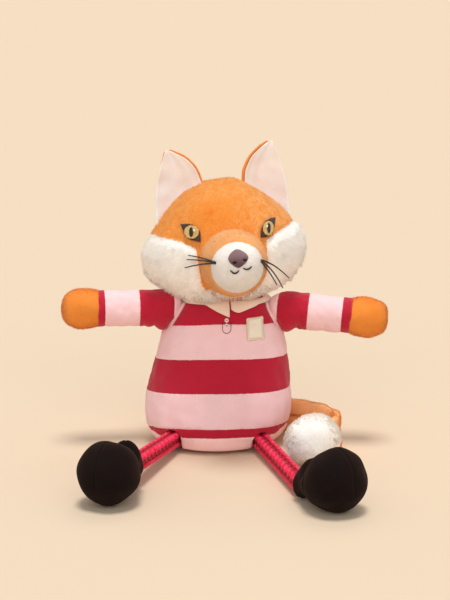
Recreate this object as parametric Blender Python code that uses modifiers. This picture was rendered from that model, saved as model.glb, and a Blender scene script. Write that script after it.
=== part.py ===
"""Plush fox in a striped rugby shirt, sitting on the floor with its arms held out.

Metres, +Z up. The fox faces -Y, and its left side in the names is the viewer's left, at -X.
The origin is the middle of the flat seat under its body.
"""
import math

import bmesh
import bpy
from mathutils import Matrix, Vector
from mathutils.bvhtree import BVHTree

# Cloth, clearances and cutters
GAP = 0.0003
SEAM_GAP = 0.0006
COVER = 0.0016
FILLING_GAP = 0.0006
OVERRUN = 0.006
FLAT_DEPTH = 0.0005
SHARP_DEG = 40.0
COARSER_STEPS = 2
PAD_RING_SHARES = (0.5, 1.0)

# Body, with the levels of its cage from the seat up as shares of its sizes
BODY_WIDTH = 0.120
BODY_DEPTH = 0.094
BODY_HEIGHT = 0.122
BODY_LEAN_BACK = 0.009
BODY_LEAN_SIDE = 0.0080
BODY_LEAN_START_SHARE = 0.42
BODY_LEAN_CURVE = 1.5
BODY_SQUARENESS = 2.4
BODY_SIDES = 12
BODY_HEIGHT_SHARES = (0.0, 0.035, 0.12, 0.25, 0.48, 0.74, 0.90, 0.98, 1.01)
BODY_WIDTH_SHARES = (0.74, 0.90, 0.99, 1.025, 0.96, 0.85, 0.76, 0.58, 0.42)
BODY_DEPTH_SHARES = (0.92, 1.01, 1.05, 1.02, 0.90, 0.74, 0.66, 0.52, 0.38)
BODY_SQUARENESS_SHARES = (0.83, 0.83, 0.88, 0.96, 1.0, 1.0, 1.0, 1.0, 1.0)
BASE_SEAM_HEIGHT = 0.0145
NECK_OPENING_DROP = 0.0025
NECK_OPENING_HEIGHT = BODY_HEIGHT - NECK_OPENING_DROP

# Squeaker in a pocket at the back of the body's filling
SQUEAKER_RADIUS = 0.016
SQUEAKER_DEPTH = 0.014
SQUEAKER_HEIGHT = 0.056
SQUEAKER_INSET = 0.022
SQUEAKER_SIDES = 16

# Neck, a plug of filling that turns in the body and is the ball that the head nods on
NECK_BALL_RADIUS = 0.015
NECK_PLAY = 0.0009
NECK_SOCKET_SIDES = 20
NECK_STEM_RADIUS = 0.013
NECK_STEM_LENGTH = 0.020
NECK_RISE = 0.0070
NECK_PIVOT_HEIGHT = NECK_OPENING_HEIGHT + NECK_RISE
NECK_SIDES = 16
NECK_RISES = 6

# Head, with the levels of its cage from the chin up as shares of its sizes
HEAD_WIDTH = 0.131
HEAD_DEPTH = 0.100
HEAD_HEIGHT = 0.100
HEAD_SIDE = 0.0015
HEAD_FORWARD = 0.002
HEAD_RISE = 0.0411
HEAD_CENTRE_HEIGHT = NECK_PIVOT_HEIGHT + HEAD_RISE
HEAD_TURN_DEG = 8.5
HEAD_PITCH_DEG = 6.0
HEAD_ROLL_DEG = 4.0
HEAD_SIDES = 12
HEAD_PIECES = ("neck_plug", "head_", "cheek_", "muzzle_", "nose", "mouth_", "whisker_",
               "eye_", "iris_", "pupil_")
HEAD_HEIGHT_SHARES = (-0.87, -0.84, -0.72, -0.46, -0.12, 0.22, 0.56, 0.86, 1.00)
HEAD_WIDTH_SHARES = (0.32, 0.52, 0.70, 0.91, 1.02, 0.90, 0.68, 0.42, 0.16)
HEAD_DEPTH_SHARES = (0.36, 0.62, 0.82, 0.96, 1.01, 1.00, 0.90, 0.66, 0.28)
HEAD_BACK_SHARES = (0.06, 0.04, 0.0, 0.0, 0.0, 0.0, 0.02, 0.06, 0.10)

# Cheeks, the pale long pile below a seam whose points run from the nose out to the side
CHEEK_BACK_SHARE = 0.40
CHEEK_SEAM_ACROSS_SHARES = (0.0, 0.36, 0.62, 1.20)
CHEEK_SEAM_UP_SHARES = (-0.20, -0.18, 0.04, 0.10)

# Muzzle, lofted forward from inside the face
MUZZLE_RADIUS = 0.0245
MUZZLE_REACH = 0.088
MUZZLE_DROP = 0.014
MUZZLE_SEAM_REACH = 0.069
MUZZLE_SIDES = 8
MUZZLE_REACH_SHARES = (0.40, 0.66, 0.84, 0.95, 1.0)
MUZZLE_RADIUS_SHARES = (1.08, 1.02, 0.86, 0.54, 0.22)
MUZZLE_RISE_SHARES = (0.0, 0.0, 0.06, 0.10, 0.12)

# Nose, nostrils and mouth, placed across and up from the muzzle's axis
NOSE_WIDTH = 0.0155
NOSE_HEIGHT = 0.0145
NOSE_THICKNESS = 0.0026
NOSE_UP = 0.0055
NOSE_OUTLINE_SHARES = ((0.0, 1.0), (0.62, 0.86), (1.0, 0.30), (0.92, -0.20), (0.40, -0.86),
                       (-0.40, -0.86), (-0.92, -0.20), (-1.0, 0.30), (-0.62, 0.86))
MOUTH_WIDTH = 0.0062
MOUTH_SAG = 0.0022
MOUTH_APART = 0.0050
MOUTH_DROP = 0.0058
STITCH_RADIUS = 0.0005
STITCH_STEPS = 5

# Whiskers, three threads on each side of the muzzle
WHISKER_LENGTH = 0.024
WHISKER_RADIUS = 0.0005
WHISKER_REACH = 0.0725
WHISKER_SPREAD_DEG = (-14.0, 2.0, 12.0)
WHISKER_DROOP = 0.004
WHISKER_APART = 0.0014
WHISKER_STEPS = 4

# Eyes, three layers of stitching on the face
EYE_ACROSS = 0.0290
EYE_UP = 0.0112
EYE_LENGTH = 0.0215
EYE_HEIGHT = 0.0125
EYE_SLANT_DEG = 47.0
EYE_SQUARENESS = 1.6
IRIS_RADIUS = 0.0052
PUPIL_HEIGHT = 0.0078
PUPIL_WIDTH = 0.0026
EMBROIDERY = 0.0006
EYE_LIFT = 0.0006
EYE_SIDES = 14

# Ears, whose edges are drawn in the face's plane from the head's centre
EAR_OUTER_FOOT = 0.053
EAR_OUTER_FOOT_UP = 0.008
EAR_OUTER_BULGE = 0.057
EAR_OUTER_BULGE_UP = 0.044
EAR_INNER_FOOT = 0.017
EAR_INNER_FOOT_UP = 0.040
EAR_INNER_BULGE = 0.014
EAR_INNER_BULGE_UP = 0.066
EAR_TIP = 0.041
EAR_TIP_UP = 0.076
EAR_OUTER_SHIFT = 0.0028
EAR_INNER_SHIFT = 0.0052
LEFT_EAR_TIP_SHIFT = 0.0036
RIGHT_EAR_TIP_SHIFT = 0.0075
EAR_SET_BACK = 0.002
EAR_TIP_SET_BACK = 0.008
EAR_CUP = 0.010
EAR_CLOTH = 0.0014
EAR_STEPS_ACROSS = 5
EAR_STEPS_UP = 6
EAR_FOLD_ACROSS = 0.0355
EAR_FOLD_SHIFT = 0.0040
EAR_FOLD_BACK = 0.0135
EAR_FOLD_UP = 0.0340

# Arms, with their stations from the shoulder ball to the paw as shares of length and radius
SHOULDER_INSET = 0.0100
SHOULDER_DROP = 0.0080
SHOULDER_ACROSS = BODY_WIDTH / 2 - SHOULDER_INSET
SHOULDER_HEIGHT = NECK_OPENING_HEIGHT - SHOULDER_DROP
SHOULDER_SET_BACK = 0.0060
ARM_LENGTH = 0.0820
ARM_RADIUS = 0.0150
ARM_SIDES = 8
ARM_SOCKET_RADIUS = 0.0160
ARM_REACH_SHARES = (-0.180, -0.120, 0.02, 0.26, 0.58, 0.80, 0.94, 1.0)
ARM_RADIUS_SHARES = (0.42, 0.84, 1.03, 0.98, 0.96, 1.06, 0.84, 0.36)
ARM_FORWARD = 0.010
LEFT_ARM_DROP = -0.001
RIGHT_ARM_DROP = 0.008
WRIST_SHARE = 0.635

# Rope legs, from the ball in the seat to the ball in the boot
ROPE_RADIUS = 0.0070
ROPE_LENGTH = 0.1175
HIP_SIDE_INSET = 0.0280
LEFT_HIP_FRONT_INSET = 0.0330
RIGHT_HIP_FRONT_INSET = 0.0150
HIP_ACROSS = BODY_WIDTH / 2 - HIP_SIDE_INSET
LEFT_HIP_FORWARD = BODY_DEPTH / 2 - LEFT_HIP_FRONT_INSET
RIGHT_HIP_FORWARD = BODY_DEPTH / 2 - RIGHT_HIP_FRONT_INSET
HIP_HEIGHT = 0.0092
LEFT_ANKLE_HEIGHT = 0.0185
RIGHT_ANKLE_HEIGHT = 0.0095
LEFT_ROPE_DEG = 17.3
RIGHT_ROPE_DEG = 13.4
ROPE_SIDES = 10
ROPE_STATIONS = 4
ROPE_BALL_RINGS = 3
HIP_DROP_DEG = 70.0
HIP_LIFT_DEG = 15.0
HIP_SLOT_LENGTH = 0.040

# Boots, from the top of the shaft to the toe as shares of length and radius
BOOT_LENGTH = 0.066
BOOT_RADIUS = 0.0248
BOOT_MOUTH_REACH = 0.0010
BOOT_SHAFT_RISE = 0.0092
BOOT_SIDES = 8
LEFT_BOOT_DEG = 23.9
RIGHT_BOOT_DEG = 34.0
BOOT_REACH_SHARES = (-0.09, -0.03, 0.06, 0.15, 0.24, 0.33, 0.43, 0.61, 0.80, 0.92, 0.97)
BOOT_WIDTH_SHARES = (0.36, 0.39, 0.41, 0.44, 0.53, 0.69, 0.82, 0.97, 0.85, 0.50, 0.22)
BOOT_HEIGHT_SHARES = (0.36, 0.40, 0.49, 0.58, 0.57, 0.64, 0.82, 1.00, 0.90, 0.54, 0.26)
BOOT_CENTRE_SHARES = (0.00, 0.00, 0.00, 0.03, 0.20, 0.50, 0.80, 1.00, 1.00, 0.97, 0.95)
BOOT_RISE_SHARES = (0.00, 0.02, 0.26, 0.90, 0.70, 0.30, 0.08, 0.00, 0.00, 0.00, 0.00)
BOOT_FILL_START = 0.003

# Tail, a limp flat tube that curls round to a stuffed pale tip
TAIL_PATH_SHARES = ((0.50, 0.205), (0.64, 0.130), (0.79, 0.00),
                    (0.925, -0.18), (0.955, -0.37), (0.825, -0.565))
TAIL_SPAN = 0.100
TAIL_ROOT_ACROSS = 0.053
TAIL_HEIGHT = 0.031
TAIL_THICKNESS = 0.0075
TAIL_SIDES = 8
TAIL_SQUARENESS = 3.0
TAIL_TIP_RADIUS = 0.0205
TAIL_TIP_SIDES = 10
TAIL_TIP_LENGTH = 0.044
TAIL_TIP_ACROSS = 0.0720
TAIL_TIP_FORWARD = 0.0680
TAIL_TIP_REACH_SHARES = (-0.50, -0.42, -0.20, 0.06, 0.30, 0.44, 0.49)
TAIL_TIP_RADIUS_SHARES = (0.30, 0.68, 1.0, 1.04, 0.86, 0.52, 0.22)

# Collar, two flaps that lie over the shoulders
COLLAR_DROP = 0.0036
COLLAR_POINT_DROP = 0.0090
COLLAR_POINT_SPAN_DEG = 40.0
COLLAR_POINT_CURVE = 1.6
COLLAR_LIFT = 0.0006
COLLAR_FRONT_GAP_DEG = 5.0
COLLAR_BACK_GAP_DEG = 1.5
COLLAR_STEPS_ROUND = 12
COLLAR_STEPS_DOWN = 3
COLLAR_CLOTH = 0.0014
COLLAR_TOP_DROP = 0.0007
COLLAR_TOP_HEIGHT = NECK_OPENING_HEIGHT - COLLAR_TOP_DROP

# Placket, buttons and patch on the chest, placed by their drop from the neck opening
PLACKET_WIDTH = 0.0068
PLACKET_TOP_DROP = 0.0150
PLACKET_BOTTOM_DROP = 0.0232
BUTTON_RADIUS = 0.0017
BUTTON_THICKNESS = 0.0010
UPPER_BUTTON_DROP = 0.0133
LOWER_BUTTON_DROP = 0.0175
CHEST_LINE = 0.0050
PATCH_WIDTH = 0.0145
PATCH_HEIGHT = 0.0190
PATCH_THICKNESS = 0.0011
PATCH_ACROSS = 0.0270
PATCH_DROP = 0.0210
PATCH_TILT_DEG = 3.0
PATCH_ROUNDNESS = 7.0


def seat_origin(pieces, place):
    """Move the origin of pieces to a place, such as the joint they turn on, and leave their shape there."""
    for piece in pieces:
        piece.data.transform(Matrix.Translation(-place))
        piece.location = place


def linear(red, green, blue):
    """Linear colour of an 8-bit screen colour."""
    def channel(value):
        share = value / 255
        return share / 12.92 if share <= 0.04045 else ((share + 0.055) / 1.055) ** 2.4
    return (channel(red), channel(green), channel(blue), 1.0)


def new_material(name, colour, roughness):
    material = bpy.data.materials.new(name)
    material.use_nodes = True
    shader = material.node_tree.nodes["Principled BSDF"]
    shader.inputs["Base Color"].default_value = linear(*colour)
    shader.inputs["Roughness"].default_value = roughness
    shader.inputs["Metallic"].default_value = 0.0
    return material


def new_collection(name):
    collection = bpy.data.collections.new(name)
    bpy.context.scene.collection.children.link(collection)
    return collection


def add_piece(name, mesh, material):
    """A sub-part of the fox."""
    piece = bpy.data.objects.new(name, mesh)
    mesh.materials.clear()
    mesh.materials.append(material)
    mesh.shade_smooth()
    mesh.set_sharp_from_angle(angle=math.radians(SHARP_DEG))
    fox.objects.link(piece)
    return piece


def add_cutter(name, mesh):
    """A shape that only cuts others."""
    cutter = bpy.data.objects.new(name, mesh)
    cutter.hide_render = True
    cutter.display_type = "WIRE"
    cutters.objects.link(cutter)
    return cutter


def cut(piece, cutter, operation="DIFFERENCE"):
    modifier = piece.modifiers.new(cutter.name, "BOOLEAN")
    modifier.operation = operation
    modifier.solver = "EXACT"
    modifier.object = cutter


def solidify(piece, thickness, offset):
    """Give a cloth its thickness: offset -1 is inward, 1 is outward."""
    modifier = piece.modifiers.new("cloth", "SOLIDIFY")
    modifier.thickness = thickness
    modifier.offset = offset


def mesh_from(name, bm):
    mesh = bpy.data.meshes.new(name)
    bm.to_mesh(mesh)
    bm.free()
    return mesh


def evaluated_mesh(holder):
    """The holder's mesh as its modifiers leave it; the holder is removed."""
    bpy.context.view_layer.update()
    graph = bpy.context.evaluated_depsgraph_get()
    mesh = bpy.data.meshes.new_from_object(holder.evaluated_get(graph))
    bpy.data.objects.remove(holder)
    return mesh


def ring(centre, across, upward, sides, squareness=2.0):
    """Points of an oval round a centre, swelled so that one subdivision lands on it."""
    swell = 3 / (2 + math.cos(math.tau / sides))
    points = []
    for step in range(sides):
        angle = math.tau * step / sides
        cosine, sine = math.cos(angle), math.sin(angle)
        x_share = math.copysign(abs(cosine) ** (2 / squareness), cosine)
        y_share = math.copysign(abs(sine) ** (2 / squareness), sine)
        points.append(centre + swell * (across * x_share + upward * y_share))
    return points


def soft_form(name, rings):
    """Closed smooth mesh on a cage of rings, subdivided once."""
    bm = bmesh.new()
    loops = [[bm.verts.new(point) for point in points] for points in rings]
    for low, high in zip(loops, loops[1:]):
        for index in range(len(low)):
            after = (index + 1) % len(low)
            bm.faces.new((low[index], low[after], high[after], high[index]))
    bm.faces.new(loops[0])
    bm.faces.new(loops[-1])
    bmesh.ops.recalc_face_normals(bm, faces=bm.faces)
    holder = add_cutter(name, mesh_from(name, bm))
    subdivision = holder.modifiers.new("round", "SUBSURF")
    subdivision.levels = 1
    subdivision.render_levels = 1
    return evaluated_mesh(holder)


def offset_form(name, form, distance):
    """Copy of a closed form with its skin moved out by a distance, or in if negative."""
    bm = bmesh.new()
    bm.from_mesh(form)
    bm.normal_update()
    for vertex in bm.verts:
        vertex.co += vertex.normal * distance
    return mesh_from(name, bm)


def clipped(name, form, planes):
    """Open copy of a form without what lies past each plane, given by a point and a normal."""
    bm = bmesh.new()
    bm.from_mesh(form)
    for point, normal in planes:
        everything = bm.verts[:] + bm.edges[:] + bm.faces[:]
        bmesh.ops.bisect_plane(bm, geom=everything, plane_co=point, plane_no=normal,
                               clear_outer=True, dist=GAP / 10)
    return mesh_from(name, bm)


def add_cover(name, form, planes, material):
    """Cloth cover on a form, open at each plane."""
    cover = add_piece(name, clipped(name, form, planes), material)
    solidify(cover, COVER, -1)
    return cover


def add_filling(name, form):
    """Stuffing inside a form's cover, with a quarter of its faces."""
    holder = add_cutter(name, offset_form(name, form, -COVER - FILLING_GAP))
    coarser = holder.modifiers.new("coarser", "DECIMATE")
    coarser.decimate_type = "UNSUBDIV"
    coarser.iterations = COARSER_STEPS
    return add_piece(name, evaluated_mesh(holder), stuffing)


def box_between(name, low, high):
    bm = bmesh.new()
    bmesh.ops.create_cube(bm, size=1.0)
    for vertex in bm.verts:
        for axis in range(3):
            vertex.co[axis] = low[axis] if vertex.co[axis] < 0 else high[axis]
    return mesh_from(name, bm)


def ball(name, centre, radius, sides):
    bm = bmesh.new()
    bmesh.ops.create_uvsphere(bm, u_segments=sides, v_segments=sides // 2, radius=radius)
    bmesh.ops.translate(bm, verts=bm.verts, vec=centre)
    return mesh_from(name, bm)


def cylinder(name, centre, direction, radius, depth, sides):
    bm = bmesh.new()
    turn = Vector((0, 0, 1)).rotation_difference(direction).to_matrix().to_4x4()
    bmesh.ops.create_cone(bm, cap_ends=True, segments=sides, radius1=radius, radius2=radius,
                          depth=depth, matrix=Matrix.Translation(centre) @ turn)
    return mesh_from(name, bm)


def floor_cutter(low_reach):
    """Slab below the floor that cuts soft undersides flat."""
    low = Vector((-low_reach, -low_reach, -low_reach))
    return add_cutter("floor_cutter", box_between("floor_cutter", low, Vector((low_reach, low_reach, 0))))


def surface_tree(form):
    """Ray target made from a form's mesh."""
    bm = bmesh.new()
    bm.from_mesh(form)
    tree = BVHTree.FromBMesh(bm)
    bm.free()
    return tree


def pressed_patch(name, tree, frame, outline, lift, thickness, material, reach):
    """Thin pad that follows a surface: an outline across and up in a frame, pressed along the frame's Y."""
    bm = bmesh.new()
    ahead = (frame.to_3x3() @ Vector((0, 1, 0))).normalized()

    def seat(across, upward):
        start = frame @ Vector((across, -reach, upward))
        place, normal, _, _ = tree.ray_cast(start, ahead)
        return place, normal

    rings = []
    for share in PAD_RING_SHARES:
        rings.append([seat(across * share, upward * share) for across, upward in outline])
    middle, middle_normal = seat(0.0, 0.0)
    layers = []
    for height in (lift, lift + thickness):
        hub = bm.verts.new(middle + middle_normal * height)
        loops = [[bm.verts.new(place + normal * height) for place, normal in points] for points in rings]
        layers.append((hub, loops))
    count = len(outline)
    for hub, loops in layers:
        for index in range(count):
            after = (index + 1) % count
            bm.faces.new((hub, loops[0][index], loops[0][after]))
            bm.faces.new((loops[0][index], loops[1][index], loops[1][after], loops[0][after]))
    for index in range(count):
        after = (index + 1) % count
        low, high = layers[0][1][1], layers[1][1][1]
        bm.faces.new((low[index], low[after], high[after], high[index]))
    bmesh.ops.recalc_face_normals(bm, faces=bm.faces)
    return add_piece(name, mesh_from(name, bm), material)


def oval(half_width, half_height, sides, squareness=2.0, tilt_deg=0.0):
    """Closed outline of an oval, tilted in its plane."""
    tilt = math.radians(tilt_deg)
    outline = []
    for step in range(sides):
        angle = math.tau * step / sides
        cosine, sine = math.cos(angle), math.sin(angle)
        across = half_width * math.copysign(abs(cosine) ** (2 / squareness), cosine)
        upward = half_height * math.copysign(abs(sine) ** (2 / squareness), sine)
        outline.append((across * math.cos(tilt) - upward * math.sin(tilt),
                        across * math.sin(tilt) + upward * math.cos(tilt)))
    return outline


def add_thread(name, path, radius, material):
    """Thin round thread along a path."""
    curve = bpy.data.curves.new(name, "CURVE")
    curve.dimensions = "3D"
    curve.bevel_depth = radius
    curve.bevel_resolution = 0
    curve.use_fill_caps = True
    spline = curve.splines.new("POLY")
    spline.points.add(len(path) - 1)
    for point, place in zip(spline.points, path):
        point.co = (*place, 1.0)
    holder = bpy.data.objects.new(name, curve)
    cutters.objects.link(holder)
    bm = bmesh.new()
    bm.from_mesh(evaluated_mesh(holder))
    bmesh.ops.remove_doubles(bm, verts=bm.verts, dist=radius / 100)
    bmesh.ops.recalc_face_normals(bm, faces=bm.faces)
    return add_piece(name, mesh_from(name, bm), material)


def body_centre(height):
    """Middle of the body at a height: it leans back and to one side on its way up."""
    share = height / BODY_HEIGHT
    return Vector((BODY_LEAN_SIDE * (share - BODY_LEAN_START_SHARE),
                   BODY_LEAN_BACK * max(share, 0.0) ** BODY_LEAN_CURVE, height))


def body_form():
    rings = []
    for height_share, width_share, depth_share, square_share in zip(
            BODY_HEIGHT_SHARES, BODY_WIDTH_SHARES, BODY_DEPTH_SHARES, BODY_SQUARENESS_SHARES):
        height = BODY_HEIGHT * height_share
        centre = body_centre(height) - Vector((0, 0, FLAT_DEPTH))
        across = Vector((BODY_WIDTH / 2 * width_share, 0, 0))
        along = Vector((0, BODY_DEPTH / 2 * depth_share, 0))
        rings.append(ring(centre, across, along, BODY_SIDES, BODY_SQUARENESS * square_share))
    return soft_form("body_form", rings)


def make_body(form, floor):
    """Shirt front, shirt back, base panel, filling and squeaker."""
    up, down, back, ahead = Vector((0, 0, 1)), Vector((0, 0, -1)), Vector((0, 1, 0)), Vector((0, -1, 0))
    side_seam = body_centre(BODY_HEIGHT / 2)
    seam = Vector((0, 0, BASE_SEAM_HEIGHT))
    half = SEAM_GAP / 2
    neck_cut = (Vector((0, 0, NECK_OPENING_HEIGHT)), up)
    above_seam = (seam + up * half, down)
    front = add_cover("shirt_front", form, [neck_cut, above_seam, (side_seam + ahead * half, back)], red_knit)
    rear = add_cover("shirt_back", form, [neck_cut, above_seam, (side_seam + back * half, ahead)], red_knit)
    base = add_cover("base_panel", form, [(seam + down * half, up)], pink_knit)
    filling = add_filling("body_filling", form)
    cut(base, floor)
    for side in (-1, 1):
        socket = shoulder_socket(side)
        for piece in (front, rear, filling):
            cut(piece, socket)
        pocket = add_cutter("hip_slot", hip_slot(side))
        for piece in (front, base, filling):
            cut(piece, pocket)
    cut(filling, add_cutter("neck_pocket", neck_mesh("neck_pocket", GAP)))
    place = body_centre(SQUEAKER_HEIGHT) + back * (BODY_DEPTH / 2 - SQUEAKER_INSET)
    pocket_depth = SQUEAKER_DEPTH + SQUEAKER_INSET
    pocket = add_cutter("squeaker_pocket", cylinder(
        "squeaker_pocket", place + back * (pocket_depth / 2 - SQUEAKER_DEPTH / 2 - GAP), back,
        SQUEAKER_RADIUS + GAP, pocket_depth, SQUEAKER_SIDES))
    cut(filling, pocket)
    add_piece("squeaker", cylinder("squeaker", place, back, SQUEAKER_RADIUS - GAP, SQUEAKER_DEPTH - GAP,
                                   SQUEAKER_SIDES), plastic)


def hip_place(side):
    return Vector((side * HIP_ACROSS, -(LEFT_HIP_FORWARD if side < 0 else RIGHT_HIP_FORWARD), HIP_HEIGHT))


def rope_direction(side):
    """Unit vector along a rope leg at rest, a little uphill to the ankle."""
    angle = math.radians(LEFT_ROPE_DEG if side < 0 else RIGHT_ROPE_DEG)
    rise = ((LEFT_ANKLE_HEIGHT if side < 0 else RIGHT_ANKLE_HEIGHT) - HIP_HEIGHT) / ROPE_LENGTH
    level = math.sqrt(1 - rise * rise)
    return Vector((side * math.sin(angle) * level, -math.cos(angle) * level, rise))


def hip_axis(side):
    """Level unit vector that a leg swings about: a positive turn drops the boot."""
    direction = rope_direction(side)
    return Vector((-direction.y, direction.x, 0)).normalized()


def hip_slot(side):
    """Space that the rope needs at the hip, from hanging down to lifted."""
    bm = bmesh.new()
    hip, direction = hip_place(side), rope_direction(side)
    centres = [hip]
    for degrees in (HIP_DROP_DEG, HIP_DROP_DEG / 2, 0.0, -HIP_LIFT_DEG):
        turn = Matrix.Rotation(math.radians(degrees), 3, hip_axis(side))
        centres.append(hip + turn @ direction * HIP_SLOT_LENGTH)
    for centre in centres:
        made = bmesh.ops.create_uvsphere(bm, u_segments=ROPE_SIDES, v_segments=ROPE_SIDES,
                                         radius=ROPE_RADIUS + 2 * GAP)
        bmesh.ops.translate(bm, verts=made["verts"], vec=centre)
    bm.verts.ensure_lookup_table()
    skin = bmesh.ops.convex_hull(bm, input=bm.verts[:])
    hull = bmesh.new()
    kept = {face for face in skin["geom"] if isinstance(face, bmesh.types.BMFace)}
    places = {}
    for face in kept:
        for vertex in face.verts:
            if vertex.index not in places:
                places[vertex.index] = hull.verts.new(vertex.co)
        hull.faces.new([places[vertex.index] for vertex in face.verts])
    bm.free()
    bmesh.ops.recalc_face_normals(hull, faces=hull.faces)
    return mesh_from("hip_slot", hull)


def ankle_place(side):
    return hip_place(side) + rope_direction(side) * ROPE_LENGTH


def make_rope_leg(side, label):
    """Rope with a round end in the seat and another in the boot."""
    start, direction = hip_place(side), rope_direction(side)
    level = Vector((-direction.y, direction.x, 0)).normalized()
    upright = level.cross(direction)
    bm = bmesh.new()
    rings = []
    stations = []
    for step in range(1, ROPE_BALL_RINGS + 1):
        turn = math.pi / 2 * step / ROPE_BALL_RINGS
        stations.append((-ROPE_RADIUS * math.cos(turn), ROPE_RADIUS * math.sin(turn)))
    for step in range(1, ROPE_STATIONS):
        stations.append((ROPE_LENGTH * step / ROPE_STATIONS, ROPE_RADIUS))
    for step in range(ROPE_BALL_RINGS):
        turn = math.pi / 2 * step / ROPE_BALL_RINGS
        stations.append((ROPE_LENGTH + ROPE_RADIUS * math.sin(turn), ROPE_RADIUS * math.cos(turn)))
    for reach, radius in stations:
        loop = []
        for index in range(ROPE_SIDES):
            angle = math.tau * index / ROPE_SIDES
            offset = level * math.cos(angle) + upright * math.sin(angle)
            loop.append(bm.verts.new(start + direction * reach + offset * radius))
        rings.append(loop)
    for low, high in zip(rings, rings[1:]):
        for index in range(ROPE_SIDES):
            after = (index + 1) % ROPE_SIDES
            bm.faces.new((low[index], low[after], high[after], high[index]))
    for loop, reach in ((rings[0], -ROPE_RADIUS), (rings[-1], ROPE_LENGTH + ROPE_RADIUS)):
        pole = bm.verts.new(start + direction * reach)
        for index in range(ROPE_SIDES):
            bm.faces.new((loop[index], loop[(index + 1) % ROPE_SIDES], pole))
    bmesh.ops.recalc_face_normals(bm, faces=bm.faces)
    add_piece("rope_leg_" + label, mesh_from("rope_leg", bm), rope)


def boot_direction(side):
    angle = math.radians(LEFT_BOOT_DEG if side < 0 else RIGHT_BOOT_DEG)
    return Vector((side * math.sin(angle), -math.cos(angle), 0))


def make_boot(side, label, floor):
    """Boot cover with an open shaft, standing on its heel, and its filling."""
    ankle, direction = ankle_place(side), boot_direction(side)
    level, up = Vector((-direction.y, direction.x, 0)), Vector((0, 0, 1))
    lift = BOOT_RADIUS - FLAT_DEPTH - ankle.z
    rings = []
    for reach, width, height, centre, rise in zip(BOOT_REACH_SHARES, BOOT_WIDTH_SHARES, BOOT_HEIGHT_SHARES,
                                                  BOOT_CENTRE_SHARES, BOOT_RISE_SHARES):
        middle = ankle + direction * BOOT_LENGTH * reach + up * (lift * centre + BOOT_SHAFT_RISE * rise)
        rings.append(ring(middle, level * BOOT_RADIUS * width, up * BOOT_RADIUS * height, BOOT_SIDES))
    form = soft_form("boot_form", rings)
    shaft_end = ankle + direction * BOOT_MOUTH_REACH
    boot = add_cover("boot_" + label, form, [(shaft_end, -direction)], black_velour)
    cut(boot, floor)
    filling = add_filling("boot_filling_" + label, form)
    fill_start = ankle + direction * BOOT_FILL_START
    reach = BOOT_LENGTH
    shaft_space = add_cutter("shaft_space", cylinder("shaft_space", fill_start - direction * reach / 2,
                                                     direction, reach, reach, BOOT_SIDES))
    cut(filling, shaft_space)
    socket = add_cutter("ankle_socket", ball("ankle_socket", ankle, ROPE_RADIUS + GAP, ROPE_SIDES * 2))
    cut(filling, socket)


def shoulder_place(side):
    return body_centre(SHOULDER_HEIGHT) + Vector((side * SHOULDER_ACROSS, -SHOULDER_SET_BACK, 0))


def shoulder_socket(side):
    return add_cutter("shoulder_socket", ball("shoulder_socket", shoulder_place(side), ARM_SOCKET_RADIUS,
                                              ARM_SIDES * 2))


def arm_direction(side):
    drop = LEFT_ARM_DROP if side < 0 else RIGHT_ARM_DROP
    return Vector((side * ARM_LENGTH, -ARM_FORWARD, -drop)).normalized()


def make_arm(side, label):
    """Sleeve, paw and filling on one soft form, joined at the wrist."""
    shoulder, direction = shoulder_place(side), arm_direction(side)
    level = direction.cross(Vector((0, 0, 1))).normalized()
    upright = level.cross(direction)
    rings = []
    for reach, radius in zip(ARM_REACH_SHARES, ARM_RADIUS_SHARES):
        centre = shoulder + direction * ARM_LENGTH * reach
        rings.append(ring(centre, level * ARM_RADIUS * radius, upright * ARM_RADIUS * radius, ARM_SIDES))
    form = soft_form("arm_form", rings)
    wrist = shoulder + direction * ARM_LENGTH * WRIST_SHARE
    half = direction * SEAM_GAP / 2
    add_cover("sleeve_" + label, form, [(wrist - half, direction)], red_knit)
    add_cover("paw_" + label, form, [(wrist + half, -direction)], orange_plush)
    add_filling("arm_filling_" + label, form)


def neck_pivot():
    return body_centre(NECK_PIVOT_HEIGHT)


def neck_mesh(name, clearance):
    """Stem with a ball on its top, swelled by a clearance."""
    stem, ball_radius = NECK_STEM_RADIUS + clearance, NECK_BALL_RADIUS + clearance
    foot = -NECK_STEM_LENGTH - clearance
    profile = [(0.0, foot), (stem, foot)]
    start = math.pi - math.asin(stem / ball_radius)
    for step in range(NECK_RISES + 1):
        polar = start * (1 - step / NECK_RISES)
        profile.append((ball_radius * math.sin(polar), ball_radius * math.cos(polar)))
    bm = bmesh.new()
    chain = [bm.verts.new((radius, 0, height)) for radius, height in profile]
    for first, second in zip(chain, chain[1:]):
        bm.edges.new((first, second))
    holder = add_cutter(name, mesh_from(name, bm))
    screw = holder.modifiers.new("turn", "SCREW")
    screw.axis = "Z"
    screw.steps = NECK_SIDES
    screw.render_steps = NECK_SIDES
    screw.use_merge_vertices = True
    screw.merge_threshold = GAP / 10
    bm = bmesh.new()
    bm.from_mesh(evaluated_mesh(holder))
    bmesh.ops.remove_doubles(bm, verts=bm.verts, dist=GAP / 10)
    bmesh.ops.recalc_face_normals(bm, faces=bm.faces)
    bmesh.ops.translate(bm, verts=bm.verts, vec=neck_pivot())
    return mesh_from(name, bm)


def head_frame():
    """Head's own frame at its centre: -Y is where the face looks."""
    centre = Vector((HEAD_SIDE, -HEAD_FORWARD, HEAD_CENTRE_HEIGHT))
    turn = Matrix.Rotation(math.radians(HEAD_TURN_DEG), 4, "Z")
    pitch = Matrix.Rotation(math.radians(-HEAD_PITCH_DEG), 4, "X")
    roll = Matrix.Rotation(math.radians(-HEAD_ROLL_DEG), 4, "Y")
    return Matrix.Translation(centre) @ turn @ pitch @ roll


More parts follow.
